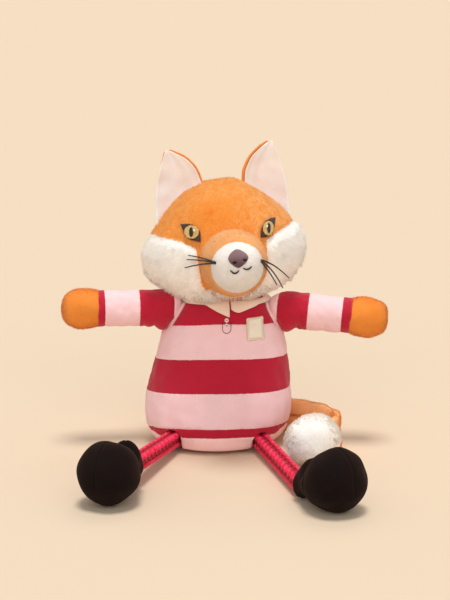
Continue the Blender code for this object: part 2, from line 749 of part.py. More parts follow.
def head_form(frame):
    rings = []
    turn = frame.to_3x3()
    for height, width, depth, back in zip(HEAD_HEIGHT_SHARES, HEAD_WIDTH_SHARES, HEAD_DEPTH_SHARES,
                                          HEAD_BACK_SHARES):
        centre = frame @ Vector((0, HEAD_DEPTH / 2 * back, HEAD_HEIGHT / 2 * height))
        across = turn @ Vector((HEAD_WIDTH / 2 * width, 0, 0))
        along = turn @ Vector((0, HEAD_DEPTH / 2 * depth, 0))
        rings.append(ring(centre, across, along, HEAD_SIDES))
    return soft_form("head_form", rings)


def cheek_block(name, frame, sides, clearance):
    """Block that holds the cheeks on the given sides: below their seam and ahead of their back edge."""
    half_width, half_height = HEAD_WIDTH / 2, HEAD_HEIGHT / 2
    seam = [(half_width * across, half_height * upward + clearance)
            for across, upward in zip(CHEEK_SEAM_ACROSS_SHARES, CHEEK_SEAM_UP_SHARES)]
    low = -half_height - OVERRUN
    if len(sides) == 1:
        inner = SEAM_GAP / 2
        top = [(inner, seam[0][1])] + seam[1:]
        outline = [(sides[0] * across, upward) for across, upward in top]
        outline += [(sides[0] * seam[-1][0], low), (sides[0] * inner, low)]
    else:
        outline = [(-across, upward) for across, upward in reversed(seam)] + seam[1:]
        outline += [(seam[-1][0], low), (-seam[-1][0], low)]
    bm = bmesh.new()
    front = -HEAD_DEPTH
    rear = HEAD_DEPTH / 2 * CHEEK_BACK_SHARE + clearance
    near = [bm.verts.new(frame @ Vector((across, front, upward))) for across, upward in outline]
    far = [bm.verts.new(frame @ Vector((across, rear, upward))) for across, upward in outline]
    bm.faces.new(near)
    bm.faces.new(far)
    for index in range(len(near)):
        after = (index + 1) % len(near)
        bm.faces.new((near[index], near[after], far[after], far[index]))
    bmesh.ops.recalc_face_normals(bm, faces=bm.faces)
    return add_cutter(name, mesh_from(name, bm))


def make_head(frame, form):
    """Orange cover, two pale cheeks and the filling, with a socket for the neck's ball."""
    socket = add_cutter("head_socket", ball("head_socket", neck_pivot(), NECK_BALL_RADIUS + NECK_PLAY,
                                             NECK_SOCKET_SIDES))
    hollow = add_cutter("head_hollow", offset_form("head_hollow", form, -COVER))
    cover = add_piece("head_cover", form.copy(), orange_plush)
    cheeks = [add_piece("cheek_" + label, form.copy(), cream_pile) for label in ("left", "right")]
    filling = add_filling("head_filling", form)
    for piece in (cover, *cheeks):
        cut(piece, hollow)
    for piece in (cover, *cheeks, filling):
        cut(piece, socket)
    cut(cover, cheek_block("cheek_space", frame, (-1, 1), SEAM_GAP))
    for cheek, side in zip(cheeks, (-1, 1)):
        cut(cheek, cheek_block("cheek_block", frame, (side,), 0.0), "INTERSECT")


def muzzle_form(frame):
    rings = []
    turn = frame.to_3x3()
    across, upward = turn @ Vector((1, 0, 0)), turn @ Vector((0, 0, 1))
    for reach, radius, rise in zip(MUZZLE_REACH_SHARES, MUZZLE_RADIUS_SHARES, MUZZLE_RISE_SHARES):
        centre = frame @ Vector((0, -MUZZLE_REACH * reach, -MUZZLE_DROP + MUZZLE_RADIUS * rise))
        wide, tall = across * MUZZLE_RADIUS * radius, upward * MUZZLE_RADIUS * radius
        rings.append(ring(centre, wide, tall, MUZZLE_SIDES))
    return soft_form("muzzle_form", rings)


def make_muzzle(frame, form, head):
    """Orange muzzle band, pale muzzle tip and the filling, cut to sit on the face."""
    ahead = frame.to_3x3() @ Vector((0, -1, 0))
    seam = frame @ Vector((0, -MUZZLE_SEAM_REACH, 0))
    half = ahead * SEAM_GAP / 2
    band = add_cover("muzzle_band", form, [(seam - half, ahead)], orange_plush)
    add_cover("muzzle_tip", form, [(seam + half, -ahead)], cream_velour)
    filling = add_filling("muzzle_filling", form)
    face = add_cutter("face_clearance", offset_form("face_clearance", head, GAP))
    for piece in (band, filling):
        cut(piece, face)


def make_nose_and_mouth(frame, muzzle_tree, clearance):
    """Nose pad and two mouth stitches on the muzzle's tip."""
    axis = frame @ Matrix.Translation(Vector((0, 0, -MUZZLE_DROP)))
    nose_frame = axis @ Matrix.Translation(Vector((0, 0, NOSE_UP)))
    half_width, half_height = NOSE_WIDTH / 2, NOSE_HEIGHT / 2
    outline = [(half_width * across, half_height * upward) for across, upward in NOSE_OUTLINE_SHARES]
    nose = pressed_patch("nose", muzzle_tree, nose_frame, outline, 0.0, NOSE_THICKNESS, nose_velour,
                         2 * MUZZLE_REACH)
    cut(nose, clearance)
    ahead = (frame.to_3x3() @ Vector((0, 1, 0))).normalized()
    for side, label in ((-1, "left"), (1, "right")):
        path = []
        for step in range(STITCH_STEPS + 1):
            share = 2 * step / STITCH_STEPS - 1
            across = side * MOUTH_APART + MOUTH_WIDTH / 2 * share
            drop = -MOUTH_DROP - MOUTH_SAG * (1 - share * share)
            start = axis @ Vector((across, -2 * MUZZLE_REACH, drop))
            place, normal, _, _ = muzzle_tree.ray_cast(start, ahead)
            path.append(place + normal * (STITCH_RADIUS + GAP))
        add_thread("mouth_stitch_" + label, path, STITCH_RADIUS, black_thread)


def make_whiskers(frame, muzzle_tree):
    """Three threads on each side, rooted on the muzzle's seam and drooping outward."""
    turn = frame.to_3x3()
    for side, label in ((-1, "left"), (1, "right")):
        outward = turn @ Vector((side, 0, 0))
        for level, spread in zip(("upper", "middle", "lower"), WHISKER_SPREAD_DEG):
            angle = math.radians(spread)
            rise = -WHISKER_APART * spread / WHISKER_SPREAD_DEG[-1]
            start = frame @ Vector((side * 2 * MUZZLE_RADIUS, -WHISKER_REACH, rise - MUZZLE_DROP))
            root, normal, _, _ = muzzle_tree.ray_cast(start, -outward)
            root = root + normal * (WHISKER_RADIUS + GAP)
            path = []
            for step in range(WHISKER_STEPS + 1):
                share = step / WHISKER_STEPS
                reach = WHISKER_LENGTH * share
                drop = WHISKER_DROOP * share * share
                offset = Vector((side * reach * math.cos(angle), 0, -reach * math.sin(angle) - drop))
                path.append(root + turn @ offset)
            add_thread("whisker_" + label + "_" + level, path, WHISKER_RADIUS, black_thread)


def make_eye(frame, head_tree, clearance, side, label):
    """Dark almond, gold iris and black slit, stitched one on another."""
    place = frame @ Matrix.Translation(Vector((side * EYE_ACROSS, 0, EYE_UP)))
    slant = side * EYE_SLANT_DEG
    almond = oval(EYE_LENGTH / 2, EYE_HEIGHT / 2, EYE_SIDES, EYE_SQUARENESS, slant)
    iris = oval(IRIS_RADIUS, IRIS_RADIUS, EYE_SIDES)
    pupil = oval(PUPIL_WIDTH / 2, PUPIL_HEIGHT / 2, EYE_SIDES // 2 + 1)
    step = EMBROIDERY + GAP
    layers = (("eye_outline_", almond, brown_thread), ("iris_", iris, gold_thread),
              ("pupil_", pupil, black_thread))
    for level, (name, outline, material) in enumerate(layers):
        layer = pressed_patch(name + label, head_tree, place, outline, EYE_LIFT + level * step, EMBROIDERY, material,
                              2 * HEAD_DEPTH)
        cut(layer, clearance)


def ear_edge(foot, bulge, tip, share):
    """Point at a share of the way up an edge that bows out to its bulge."""
    return foot * (1 - share) ** 2 + bulge * 2 * share * (1 - share) + tip * share ** 2


def ear_sheet(name, frame, side):
    """Cupped leaf between the ear's outer and inner edges."""
    outer_foot, outer_bulge = side * EAR_OUTER_FOOT + EAR_OUTER_SHIFT, side * EAR_OUTER_BULGE + EAR_OUTER_SHIFT
    inner_foot, inner_bulge = side * EAR_INNER_FOOT + EAR_INNER_SHIFT, side * EAR_INNER_BULGE + EAR_INNER_SHIFT
    foot_outer = Vector((outer_foot, EAR_SET_BACK, EAR_OUTER_FOOT_UP))
    bulge_outer = Vector((outer_bulge, EAR_SET_BACK, EAR_OUTER_BULGE_UP))
    foot_inner = Vector((inner_foot, EAR_SET_BACK, EAR_INNER_FOOT_UP))
    bulge_inner = Vector((inner_bulge, EAR_SET_BACK, EAR_INNER_BULGE_UP))
    tip_shift = LEFT_EAR_TIP_SHIFT if side < 0 else RIGHT_EAR_TIP_SHIFT
    tip = Vector((side * EAR_TIP + tip_shift, EAR_TIP_SET_BACK, EAR_TIP_UP))
    bm = bmesh.new()
    rows = []
    for up_step in range(EAR_STEPS_UP):
        share = up_step / EAR_STEPS_UP
        outer = ear_edge(foot_outer, bulge_outer, tip, share)
        inner = ear_edge(foot_inner, bulge_inner, tip, share)
        row = []
        for across_step in range(EAR_STEPS_ACROSS + 1):
            across = across_step / EAR_STEPS_ACROSS
            cup = EAR_CUP * 4 * across * (1 - across) * (1 - share)
            row.append(bm.verts.new(frame @ (outer.lerp(inner, across) + Vector((0, cup, 0)))))
        rows.append(row)
    for low, high in zip(rows, rows[1:]):
        for index in range(EAR_STEPS_ACROSS):
            bm.faces.new((low[index], low[index + 1], high[index + 1], high[index]))
    point = bm.verts.new(frame @ tip)
    for index in range(EAR_STEPS_ACROSS):
        bm.faces.new((rows[-1][index], rows[-1][index + 1], point))
    forward = frame.to_3x3() @ Vector((0, -1, 0))
    bm.normal_update()
    if bm.faces[0:1][0].normal.dot(forward) < 0:
        bmesh.ops.reverse_faces(bm, faces=bm.faces[:])
    return mesh_from(name, bm)


def make_ear(frame, clearance, side, label):
    """Orange back and pale lining, cut to stand on the head."""
    lining = add_piece("ear_lining_" + label, ear_sheet("ear_lining", frame, side), pale_lining)
    solidify(lining, EAR_CLOTH, 1)
    sheet = offset_sheet(ear_sheet("ear_back", frame, side), -GAP)
    back = add_piece("ear_back_" + label, sheet, orange_plush)
    solidify(back, EAR_CLOTH, -1)
    cut(lining, clearance)
    cut(back, clearance)


def offset_sheet(mesh, distance):
    """Move an open sheet along its normals, in place."""
    bm = bmesh.new()
    bm.from_mesh(mesh)
    bm.normal_update()
    for vertex in bm.verts:
        vertex.co += vertex.normal * distance
    bm.to_mesh(mesh)
    bm.free()
    return mesh


def tail_points():
    """Middle line of the tail's band, on the floor plan."""
    return [Vector((TAIL_SPAN * across, TAIL_SPAN * along, 0)) for across, along in TAIL_PATH_SHARES]


def make_tail(body, floor):
    """Flat limp band standing on its edge, and its pale stuffed tip."""
    up = Vector((0, 0, 1))
    path = tail_points()
    rings = []
    for index, place in enumerate(path):
        before, after = path[max(index - 1, 0)], path[min(index + 1, len(path) - 1)]
        along = (after - before).normalized()
        sideways = along.cross(up)
        centre = place + up * (TAIL_HEIGHT / 2 - FLAT_DEPTH)
        half_thick, half_tall = sideways * TAIL_THICKNESS / 2, up * TAIL_HEIGHT / 2
        rings.append(ring(centre, half_thick, half_tall, TAIL_SIDES, TAIL_SQUARENESS))
    band = add_piece("tail_band", soft_form("tail_band", rings), orange_plush)
    cut(band, floor)
    cut(band, add_cutter("body_clearance", offset_form("body_clearance", body, GAP)))
    tip_form = tail_tip_form()
    cut(band, add_cutter("tip_clearance", offset_form("tip_clearance", tip_form, GAP)))
    tip = add_piece("tail_tip", tip_form, cream_pile)
    cut(tip, floor)


def tail_tip_form():
    up = Vector((0, 0, 1))
    centre = Vector((TAIL_TIP_ACROSS, -TAIL_TIP_FORWARD, TAIL_TIP_RADIUS - FLAT_DEPTH))
    last = tail_points()[-1]
    along = (Vector((centre.x, centre.y, 0)) - last).normalized()
    sideways = along.cross(up)
    rings = []
    for reach, radius in zip(TAIL_TIP_REACH_SHARES, TAIL_TIP_RADIUS_SHARES):
        place = centre + along * TAIL_TIP_LENGTH * reach
        half = TAIL_TIP_RADIUS * radius
        rings.append(ring(place, sideways * half, up * half, TAIL_TIP_SIDES))
    return soft_form("tail_tip", rings)


def collar_drop(turn_deg):
    """How far a flap hangs at an angle from the front: longest at its point."""
    share = max(0.0, 1 - (turn_deg - COLLAR_FRONT_GAP_DEG) / COLLAR_POINT_SPAN_DEG)
    return COLLAR_DROP + (COLLAR_POINT_DROP - COLLAR_DROP) * share ** COLLAR_POINT_CURVE


def make_collar(tree, clearance):
    """Two flaps pressed on the shoulders, apart at the front and the back."""
    for side, label in ((-1, "left"), (1, "right")):
        bm = bmesh.new()
        rows = []
        for round_step in range(COLLAR_STEPS_ROUND + 1):
            share = round_step / COLLAR_STEPS_ROUND
            turn_deg = COLLAR_FRONT_GAP_DEG + (180 - COLLAR_FRONT_GAP_DEG - COLLAR_BACK_GAP_DEG) * share
            angle = math.radians(turn_deg)
            outward = Vector((side * math.sin(angle), -math.cos(angle), 0))
            row = []
            for down_step in range(COLLAR_STEPS_DOWN + 1):
                height = COLLAR_TOP_HEIGHT - collar_drop(turn_deg) * down_step / COLLAR_STEPS_DOWN
                centre = body_centre(height)
                place, normal, _, _ = tree.ray_cast(centre + outward * BODY_WIDTH, -outward)
                row.append(bm.verts.new(place))
            rows.append(row)
        for first, second in zip(rows, rows[1:]):
            for index in range(COLLAR_STEPS_DOWN):
                bm.faces.new((first[index], first[index + 1], second[index + 1], second[index]))
        bm.normal_update()
        middle = bm.faces[:][0]
        if middle.normal.dot(middle.calc_center_median() - body_centre(COLLAR_TOP_HEIGHT)) < 0:
            bmesh.ops.reverse_faces(bm, faces=bm.faces[:])
        flap = add_piece("collar_" + label, mesh_from("collar", bm), cream_velour)
        solidify(flap, COLLAR_CLOTH + COLLAR_LIFT, 1)
        cut(flap, clearance)
        cut(flap, shoulder_socket(side))


def make_chest_trim(tree):
    """Placket stitching, two buttons and a plain patch."""
    def front(across, height):
        start = Vector((across, -BODY_DEPTH, height))
        place, normal, _, _ = tree.ray_cast(start, Vector((0, 1, 0)))
        return place, normal

    half = PLACKET_WIDTH / 2
    top, bottom = NECK_OPENING_HEIGHT - PLACKET_TOP_DROP, NECK_OPENING_HEIGHT - PLACKET_BOTTOM_DROP
    outline = [(-half, top)]
    for step in range(STITCH_STEPS + 1):
        angle = math.pi * (1 + step / STITCH_STEPS)
        outline.append((half * math.cos(angle), bottom + half + half * math.sin(angle)))
    outline.append((half, top))
    path = []
    for across, height in outline:
        place, normal = front(CHEST_LINE + across, height)
        path.append(place + normal * (STITCH_RADIUS + GAP))
    add_thread("placket_stitching", path, STITCH_RADIUS, black_thread)
    for drop, label in ((UPPER_BUTTON_DROP, "upper"), (LOWER_BUTTON_DROP, "lower")):
        bm = bmesh.new()
        place, normal = front(CHEST_LINE, NECK_OPENING_HEIGHT - drop)
        turn = Vector((0, 0, 1)).rotation_difference(normal).to_matrix().to_4x4()
        middle = Matrix.Translation(place + normal * (GAP + BUTTON_THICKNESS / 2)) @ turn
        bmesh.ops.create_cone(bm, cap_ends=True, segments=EYE_SIDES, radius1=BUTTON_RADIUS,
                              radius2=BUTTON_RADIUS, depth=BUTTON_THICKNESS, matrix=middle)
        add_piece("button_" + label, mesh_from("button", bm), plastic)
    frame = Matrix.Translation(Vector((PATCH_ACROSS, 0, NECK_OPENING_HEIGHT - PATCH_DROP)))
    outline = oval(PATCH_WIDTH / 2, PATCH_HEIGHT / 2, 4 * STITCH_STEPS, PATCH_ROUNDNESS, PATCH_TILT_DEG)
    pressed_patch("chest_patch", tree, frame, outline, GAP, PATCH_THICKNESS, cream_velour, BODY_DEPTH)


for leftover in list(bpy.data.objects):
    bpy.data.objects.remove(leftover)
fox = new_collection("plush_fox")
cutters = new_collection("cutters")

red_knit = new_material("red_knit", (188, 36, 58), 0.9)
pink_knit = new_material("pink_knit", (242, 184, 190), 0.9)
orange_plush = new_material("orange_plush", (238, 140, 50), 0.95)
cream_pile = new_material("cream_pile", (243, 230, 214), 0.95)
cream_velour = new_material("cream_velour", (236, 224, 212), 0.9)
pale_lining = new_material("pale_lining", (240, 218, 206), 0.9)
nose_velour = new_material("nose_velour", (112, 84, 88), 0.85)
brown_thread = new_material("brown_thread", (70, 40, 30), 0.6)
gold_thread = new_material("gold_thread", (200, 160, 80), 0.5)
black_thread = new_material("black_thread", (20, 16, 16), 0.6)
black_velour = new_material("black_velour", (26, 18, 17), 0.9)
rope = new_material("rope", (214, 30, 66), 0.7)
plastic = new_material("plastic", (236, 226, 220), 0.35)
stuffing = new_material("stuffing", (244, 242, 238), 1.0)

floor = floor_cutter(BODY_WIDTH * 4)
body = body_form()
make_body(body, floor)
body_tree = surface_tree(body)
make_collar(body_tree, add_cutter("body_clearance", offset_form("body_clearance", body, GAP)))
make_chest_trim(body_tree)
add_piece("neck_plug", neck_mesh("neck_plug", 0.0), stuffing)
frame = head_frame()
head = head_form(frame)
muzzle = muzzle_form(frame)
head_tree = surface_tree(head)
muzzle_tree = surface_tree(muzzle)
make_head(frame, head)
make_muzzle(frame, muzzle, head)
muzzle_clearance = add_cutter("muzzle_clearance", offset_form("muzzle_clearance", muzzle, GAP))
make_nose_and_mouth(frame, muzzle_tree, muzzle_clearance)
make_whiskers(frame, muzzle_tree)
head_clearance = add_cutter("head_clearance", offset_form("head_clearance", head, GAP))
for side, label in ((-1, "left"), (1, "right")):
    make_eye(frame, head_tree, head_clearance, side, label)
    make_ear(frame, head_clearance, side, label)
    make_arm(side, label)
    make_rope_leg(side, label)
    make_boot(side, label, floor)
make_tail(body, floor)

neck = neck_pivot()
seat_origin([piece for piece in fox.objects if piece.name.startswith(HEAD_PIECES)], neck)
for side, label in ((-1, "left"), (1, "right")):
    ear_fold = frame @ Vector((side * EAR_FOLD_ACROSS + EAR_FOLD_SHIFT, EAR_FOLD_BACK, EAR_FOLD_UP))
    moving = (("ear_back_", ear_fold), ("ear_lining_", ear_fold), ("sleeve_", shoulder_place(side)),
              ("paw_", shoulder_place(side)), ("arm_filling_", shoulder_place(side)),
              ("rope_leg_", hip_place(side)), ("boot_", ankle_place(side)),
              ("boot_filling_", ankle_place(side)))
    for name, place in moving:
        seat_origin([fox.objects[name + label]], place)
tail_root = Vector((TAIL_ROOT_ACROSS, tail_points()[0].y, TAIL_HEIGHT / 2))
seat_origin([fox.objects["tail_band"], fox.objects["tail_tip"]], tail_root)
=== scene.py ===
"""Looks of the plush fox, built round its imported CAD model. Sizes are in metres."""
import math

import bmesh
import bpy
import numpy as np
from mathutils import Matrix, Vector
from mathutils.bvhtree import BVHTree
from mathutils.kdtree import KDTree


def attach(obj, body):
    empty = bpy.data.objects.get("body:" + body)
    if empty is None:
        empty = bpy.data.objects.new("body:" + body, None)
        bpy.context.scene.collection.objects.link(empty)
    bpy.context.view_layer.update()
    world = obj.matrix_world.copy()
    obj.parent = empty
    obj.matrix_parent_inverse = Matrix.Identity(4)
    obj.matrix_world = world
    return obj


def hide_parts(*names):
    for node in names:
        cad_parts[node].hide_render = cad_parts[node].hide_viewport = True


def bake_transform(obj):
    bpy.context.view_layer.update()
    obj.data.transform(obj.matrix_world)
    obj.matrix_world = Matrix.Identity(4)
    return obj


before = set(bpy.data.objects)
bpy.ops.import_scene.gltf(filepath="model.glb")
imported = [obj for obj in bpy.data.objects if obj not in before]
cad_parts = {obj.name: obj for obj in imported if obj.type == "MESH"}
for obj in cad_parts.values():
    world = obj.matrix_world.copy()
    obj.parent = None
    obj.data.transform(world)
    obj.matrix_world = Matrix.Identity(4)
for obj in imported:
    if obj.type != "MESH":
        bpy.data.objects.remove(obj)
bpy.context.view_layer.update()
scene = bpy.context.scene

# Camera, floor and light

camera_data = bpy.data.cameras.new("camera")
camera_data.lens = 108.8
camera_data.sensor_width = 36.0
camera = bpy.data.objects.new("camera", camera_data)
camera.location = (-0.0129, -1.4354, 0.4351)
camera.rotation_euler = (math.radians(90 - 12.464), 0, math.radians(-0.6736))
scene.collection.objects.link(camera)
scene.camera = camera
scene.view_settings.view_transform = "Standard"
SIM_FRAMES = 20


def linear(colour):
    """Linear colour of an 8-bit screen colour."""
    out = []
    for value in colour:
        share = value / 255
        out.append(share / 12.92 if share <= 0.04045 else ((share + 0.055) / 1.055) ** 2.4)
    return (*out, 1.0)


def add_sun(name, strength, angle, turn, height, colour=(1, 1, 1)):
    """Soft distant lamp; turn is its bearing from the camera's side and height its rise, in degrees."""
    data = bpy.data.lights.new(name, "SUN")
    data.energy = strength
    data.angle = math.radians(angle)
    data.color = colour
    lamp = bpy.data.objects.new(name, data)
    lamp.rotation_euler = (math.radians(90 - height), 0, math.radians(turn))
    scene.collection.objects.link(lamp)


add_sun("key", 1.85, 18, 10, 85)
add_sun("back", 0.28, 30, 170, 55)
add_sun("fill", 1.32, 80, 1, 13)

world = bpy.data.worlds.new("world")
world.use_nodes = True
scene.world = world
sky = world.node_tree.nodes["Background"]
sky.inputs["Color"].default_value = (0.98, 0.99, 1.0, 1.0)
sky.inputs["Strength"].default_value = 0.46
seen_sky = world.node_tree.nodes.new("ShaderNodeBackground")
seen_sky.inputs["Color"].default_value = linear((248, 222, 195))
seen_sky.inputs["Strength"].default_value = 1.0
sky_mix = world.node_tree.nodes.new("ShaderNodeMixShader")
sky_path = world.node_tree.nodes.new("ShaderNodeLightPath")
either = sky_path.outputs["Is Camera Ray"]
for kind in ("Is Glossy Ray", "Is Transmission Ray"):
    most = world.node_tree.nodes.new("ShaderNodeMath")
    most.operation = "MAXIMUM"
    world.node_tree.links.new(either, most.inputs[0])
    world.node_tree.links.new(sky_path.outputs[kind], most.inputs[1])
    either = most.outputs[0]
world.node_tree.links.new(either, sky_mix.inputs[0])
world.node_tree.links.new(sky.outputs[0], sky_mix.inputs[1])
world.node_tree.links.new(seen_sky.outputs[0], sky_mix.inputs[2])
world.node_tree.links.new(sky_mix.outputs[0], world.node_tree.nodes["World Output"].inputs["Surface"])


# Node materials

def connect(tree, socket, value):
    if isinstance(value, bpy.types.NodeSocket):
        tree.links.new(value, socket)
    else:
        socket.default_value = value


def add_node(tree, kind, inputs, **settings):
    """Node of a kind with its settings and inputs; an input is a value or another node's output."""
    made = tree.nodes.new("ShaderNode" + kind)
    for key, value in settings.items():
        setattr(made, key, value)
    for key, value in inputs.items():
        connect(tree, made.inputs[key], value)
    return made


def rest_place(tree):
    return add_node(tree, "Attribute", {}, attribute_name="rest_place").outputs["Vector"]


def object_place(tree):
    return add_node(tree, "TexCoord", {}).outputs["Object"]


def read_value(tree, name):
    return add_node(tree, "Attribute", {}, attribute_name=name).outputs["Fac"]


def noise_value(tree, place, scale, detail=2.0, roughness=0.5):
    inputs = {"Vector": place, "Scale": scale, "Detail": detail, "Roughness": roughness}
    return add_node(tree, "TexNoise", inputs).outputs[0]


def maths(tree, operation, first, second=0.0):
    return add_node(tree, "Math", {0: first, 1: second}, operation=operation).outputs[0]


def remap(tree, value, low, high, to_low=0.0, to_high=1.0):
    inputs = {"Value": value, "From Min": low, "From Max": high, "To Min": to_low, "To Max": to_high}
    return add_node(tree, "MapRange", inputs).outputs[0]


def mix_colour(tree, share, first, second, blend_type="MIX"):
    made = tree.nodes.new("ShaderNodeMix")
    made.data_type = "RGBA"
    made.blend_type = blend_type
    connect(tree, made.inputs[0], share)
    connect(tree, made.inputs[6], first)
    connect(tree, made.inputs[7], second)
    return made.outputs[2]


def bands(tree, value, edges, colours):
    """Colour by a value in metres: colours meet sharply at each edge."""
    colour = linear(colours[0])
    for edge, after in zip(edges, colours[1:]):
        step = remap(tree, value, edge - 0.00015, edge + 0.00015)
        colour = mix_colour(tree, step, colour, linear(after))
    return colour


def new_material(name, roughness=0.9, sheen=0.0, sheen_tint=(255, 255, 255), specular=0.3):
    material = bpy.data.materials.new(name)
    material.use_nodes = True
    shader = material.node_tree.nodes["Principled BSDF"]
    shader.inputs["Roughness"].default_value = roughness
    shader.inputs["Sheen Weight"].default_value = sheen
    shader.inputs["Sheen Roughness"].default_value = 0.5
    shader.inputs["Sheen Tint"].default_value = linear(sheen_tint)
    shader.inputs["Specular IOR Level"].default_value = specular
    return material, material.node_tree, shader


def set_bump(tree, shader, height, strength, distance):
    made = add_node(tree, "Bump", {"Height": height, "Strength": strength, "Distance": distance})
    tree.links.new(made.outputs[0], shader.inputs["Normal"])


def velour(name, colour, place=rest_place, shift=0.10, sheen=0.25, tint=(255, 255, 255), grain=1500.0,
           depth=0.00018):
    """Short-napped cloth: fine grain, patches where the nap lies another way, and sheen. colour may be a function."""
    material, tree, shader = new_material(name, 0.95, sheen, tint, 0.15)
    where = place(tree)
    fine = noise_value(tree, where, grain, 3.0, 0.65)
    patch = noise_value(tree, where, 70.0, 3.0, 0.55)
    base = colour(tree) if callable(colour) else linear(colour)
    low = mix_colour(tree, 1.0, base, (1 - shift, 1 - shift, 1 - shift, 1.0), "MULTIPLY")
    high = mix_colour(tree, 1.0, base, (1 + shift, 1 + shift, 1 + shift, 1.0), "MULTIPLY")
    both = maths(tree, "ADD", maths(tree, "MULTIPLY", fine, 0.6), maths(tree, "MULTIPLY", patch, 0.4))
    shade = remap(tree, both, 0.32, 0.68)
    connect(tree, shader.inputs["Base Color"], mix_colour(tree, shade, low, high))
    set_bump(tree, shader, fine, 0.6, depth)
    return material


def two_tone(name, first, second, scale, roughness, sheen=0.0, specular=0.3, place=rest_place, detail=2.0,
             spread=None, bump=None):
    """Material whose colour wanders between two. A small spread parts them, and bump raises the grain."""
    material, tree, shader = new_material(name, roughness, sheen, specular=specular)
    grain = noise_value(tree, place(tree), scale, detail)
    share = grain if spread is None else remap(tree, grain, 0.5 - spread, 0.5 + spread)
    connect(tree, shader.inputs["Base Color"], mix_colour(tree, share, linear(first), linear(second)))
    if bump is not None:
        set_bump(tree, shader, grain, *bump)
    return material


# Floor: its seen colour is even, and it keeps the shadows

floor_material = two_tone("floor", (224, 202, 176), (225, 204, 178), 6.0, 0.9, specular=0.0, place=object_place)
bm = bmesh.new()
bmesh.ops.create_circle(bm, cap_ends=True, segments=64, radius=30.0)
floor_mesh = bpy.data.meshes.new("floor")
bm.to_mesh(floor_mesh)
bm.free()
floor_mesh.materials.append(floor_material)
floor = bpy.data.objects.new("floor", floor_mesh)
floor.location = (0, 0, -0.0002)
scene.collection.objects.link(floor)


# Mesh tools

def ring(centre, across, upward, sides, squareness=2.0):
    """Points of an oval round a centre, swelled so that subdivision lands near it."""
    swell = 3 / (2 + math.cos(math.tau / sides))
    points = []
    for step in range(sides):
        angle = math.tau * step / sides
        cosine, sine = math.cos(angle), math.sin(angle)
        x_share = math.copysign(abs(cosine) ** (2 / squareness), cosine)
        y_share = math.copysign(abs(sine) ** (2 / squareness), sine)
        points.append(centre + swell * (across * x_share + upward * y_share))
    return points


def loft(rings, capped=True):
    """Vertices and faces of a skin over rings, with a pole in each end."""
    sides = len(rings[0])
    vertices = [Vector(point) for points in rings for point in points]
    faces = []
    for level in range(len(rings) - 1):
        for index in range(sides):
            after = (index + 1) % sides
            low, high = level * sides, (level + 1) * sides
            faces.append((low + index, low + after, high + after, high + index))
    if capped:
        for start, turn in ((0, -1), ((len(rings) - 1) * sides, 1)):
            pole = len(vertices)
            vertices.append(sum((vertices[start + index] for index in range(sides)), Vector()) / sides)
            for index in range(sides):
                pair = (start + index, start + (index + 1) % sides)
                faces.append((*pair[::turn], pole))
    return vertices, faces


def grid_faces(rows, columns):
    """Faces over a grid of points that are listed row by row."""
    starts = [row * (columns + 1) + column for row in range(rows) for column in range(columns)]
    return [(start, start + 1, start + columns + 2, start + columns + 1) for start in starts]


def quadratic(start, bulge, end, share):
    """Point at a share of a curve from start to end that is drawn toward bulge."""
    return start * (1 - share) ** 2 + bulge * 2 * share * (1 - share) + end * share ** 2


def make_object(name, vertices, faces, material=None):
    mesh = bpy.data.meshes.new(name)
    mesh.from_pydata([tuple(point) for point in vertices], [], [tuple(face) for face in faces])
    bm = bmesh.new()
    bm.from_mesh(mesh)
    bmesh.ops.recalc_face_normals(bm, faces=bm.faces)
    bm.to_mesh(mesh)
    bm.free()
    mesh.shade_smooth()
    if material is not None:
        mesh.materials.append(material)
    made = bpy.data.objects.new(name, mesh)
    scene.collection.objects.link(made)
    return made


def applied(piece):
    """Replace a piece's mesh with what its modifiers make of it."""
    bpy.context.view_layer.update()
    graph = bpy.context.evaluated_depsgraph_get()
    mesh = bpy.data.meshes.new_from_object(piece.evaluated_get(graph))
    piece.modifiers.clear()
    piece.data = mesh
    mesh.name = piece.name
    return piece


def subdivided(piece, levels):
    modifier = piece.modifiers.new("round", "SUBSURF")
    modifier.levels = levels
    modifier.render_levels = levels
    return applied(piece)


def thickened(piece, thickness, offset):
    modifier = piece.modifiers.new("cloth", "SOLIDIFY")
    modifier.thickness = thickness
    modifier.offset = offset
    return applied(piece)


def places_of(mesh):
    out = np.empty(len(mesh.vertices) * 3, np.float32)
    mesh.vertices.foreach_get("co", out)
    return out.reshape(-1, 3).astype(float)


def set_places(mesh, places):
    mesh.vertices.foreach_set("co", places.astype(np.float32).ravel())
    mesh.update()


def normals_of(mesh):
    out = np.empty(len(mesh.vertices) * 3, np.float32)
    mesh.vertex_normals.foreach_get("vector", out)
    return out.reshape(-1, 3).astype(float)


def triangles_of(mesh):
    mesh.calc_loop_triangles()
    out = np.empty(len(mesh.loop_triangles) * 3, np.int32)
    mesh.loop_triangles.foreach_get("vertices", out)
    return out.reshape(-1, 3)


def store(mesh, name, values, kind="FLOAT"):
    """Keep a number or a vector of each point for the materials."""
    made = mesh.attributes.get(name) or mesh.attributes.new(name, kind, "POINT")
    made.data.foreach_set("vector" if kind == "FLOAT_VECTOR" else "value", values.astype(np.float32).ravel())


def keep_rest(piece):
    store(piece.data, "rest_place", places_of(piece.data), "FLOAT_VECTOR")
    return piece


def unit(vectors):
    return vectors / np.maximum(np.linalg.norm(vectors, axis=-1, keepdims=True), 1e-9)


def smooth_step(values, low, high):
    share = np.clip((values - low) / (high - low), 0, 1)
    return share * share * (3 - 2 * share)


def ripple(places, scale, seed):
    """Smooth random values from about -1 to 1 over space, from a few waves."""
    source = np.random.default_rng(seed)
    total = np.zeros(len(places))
    for _ in range(7):
        direction = unit(source.normal(size=3))
        wave = scale * source.uniform(0.6, 1.5) * math.tau
        total += np.sin(places @ direction * wave + source.uniform(0, math.tau))
    return total / 3.2


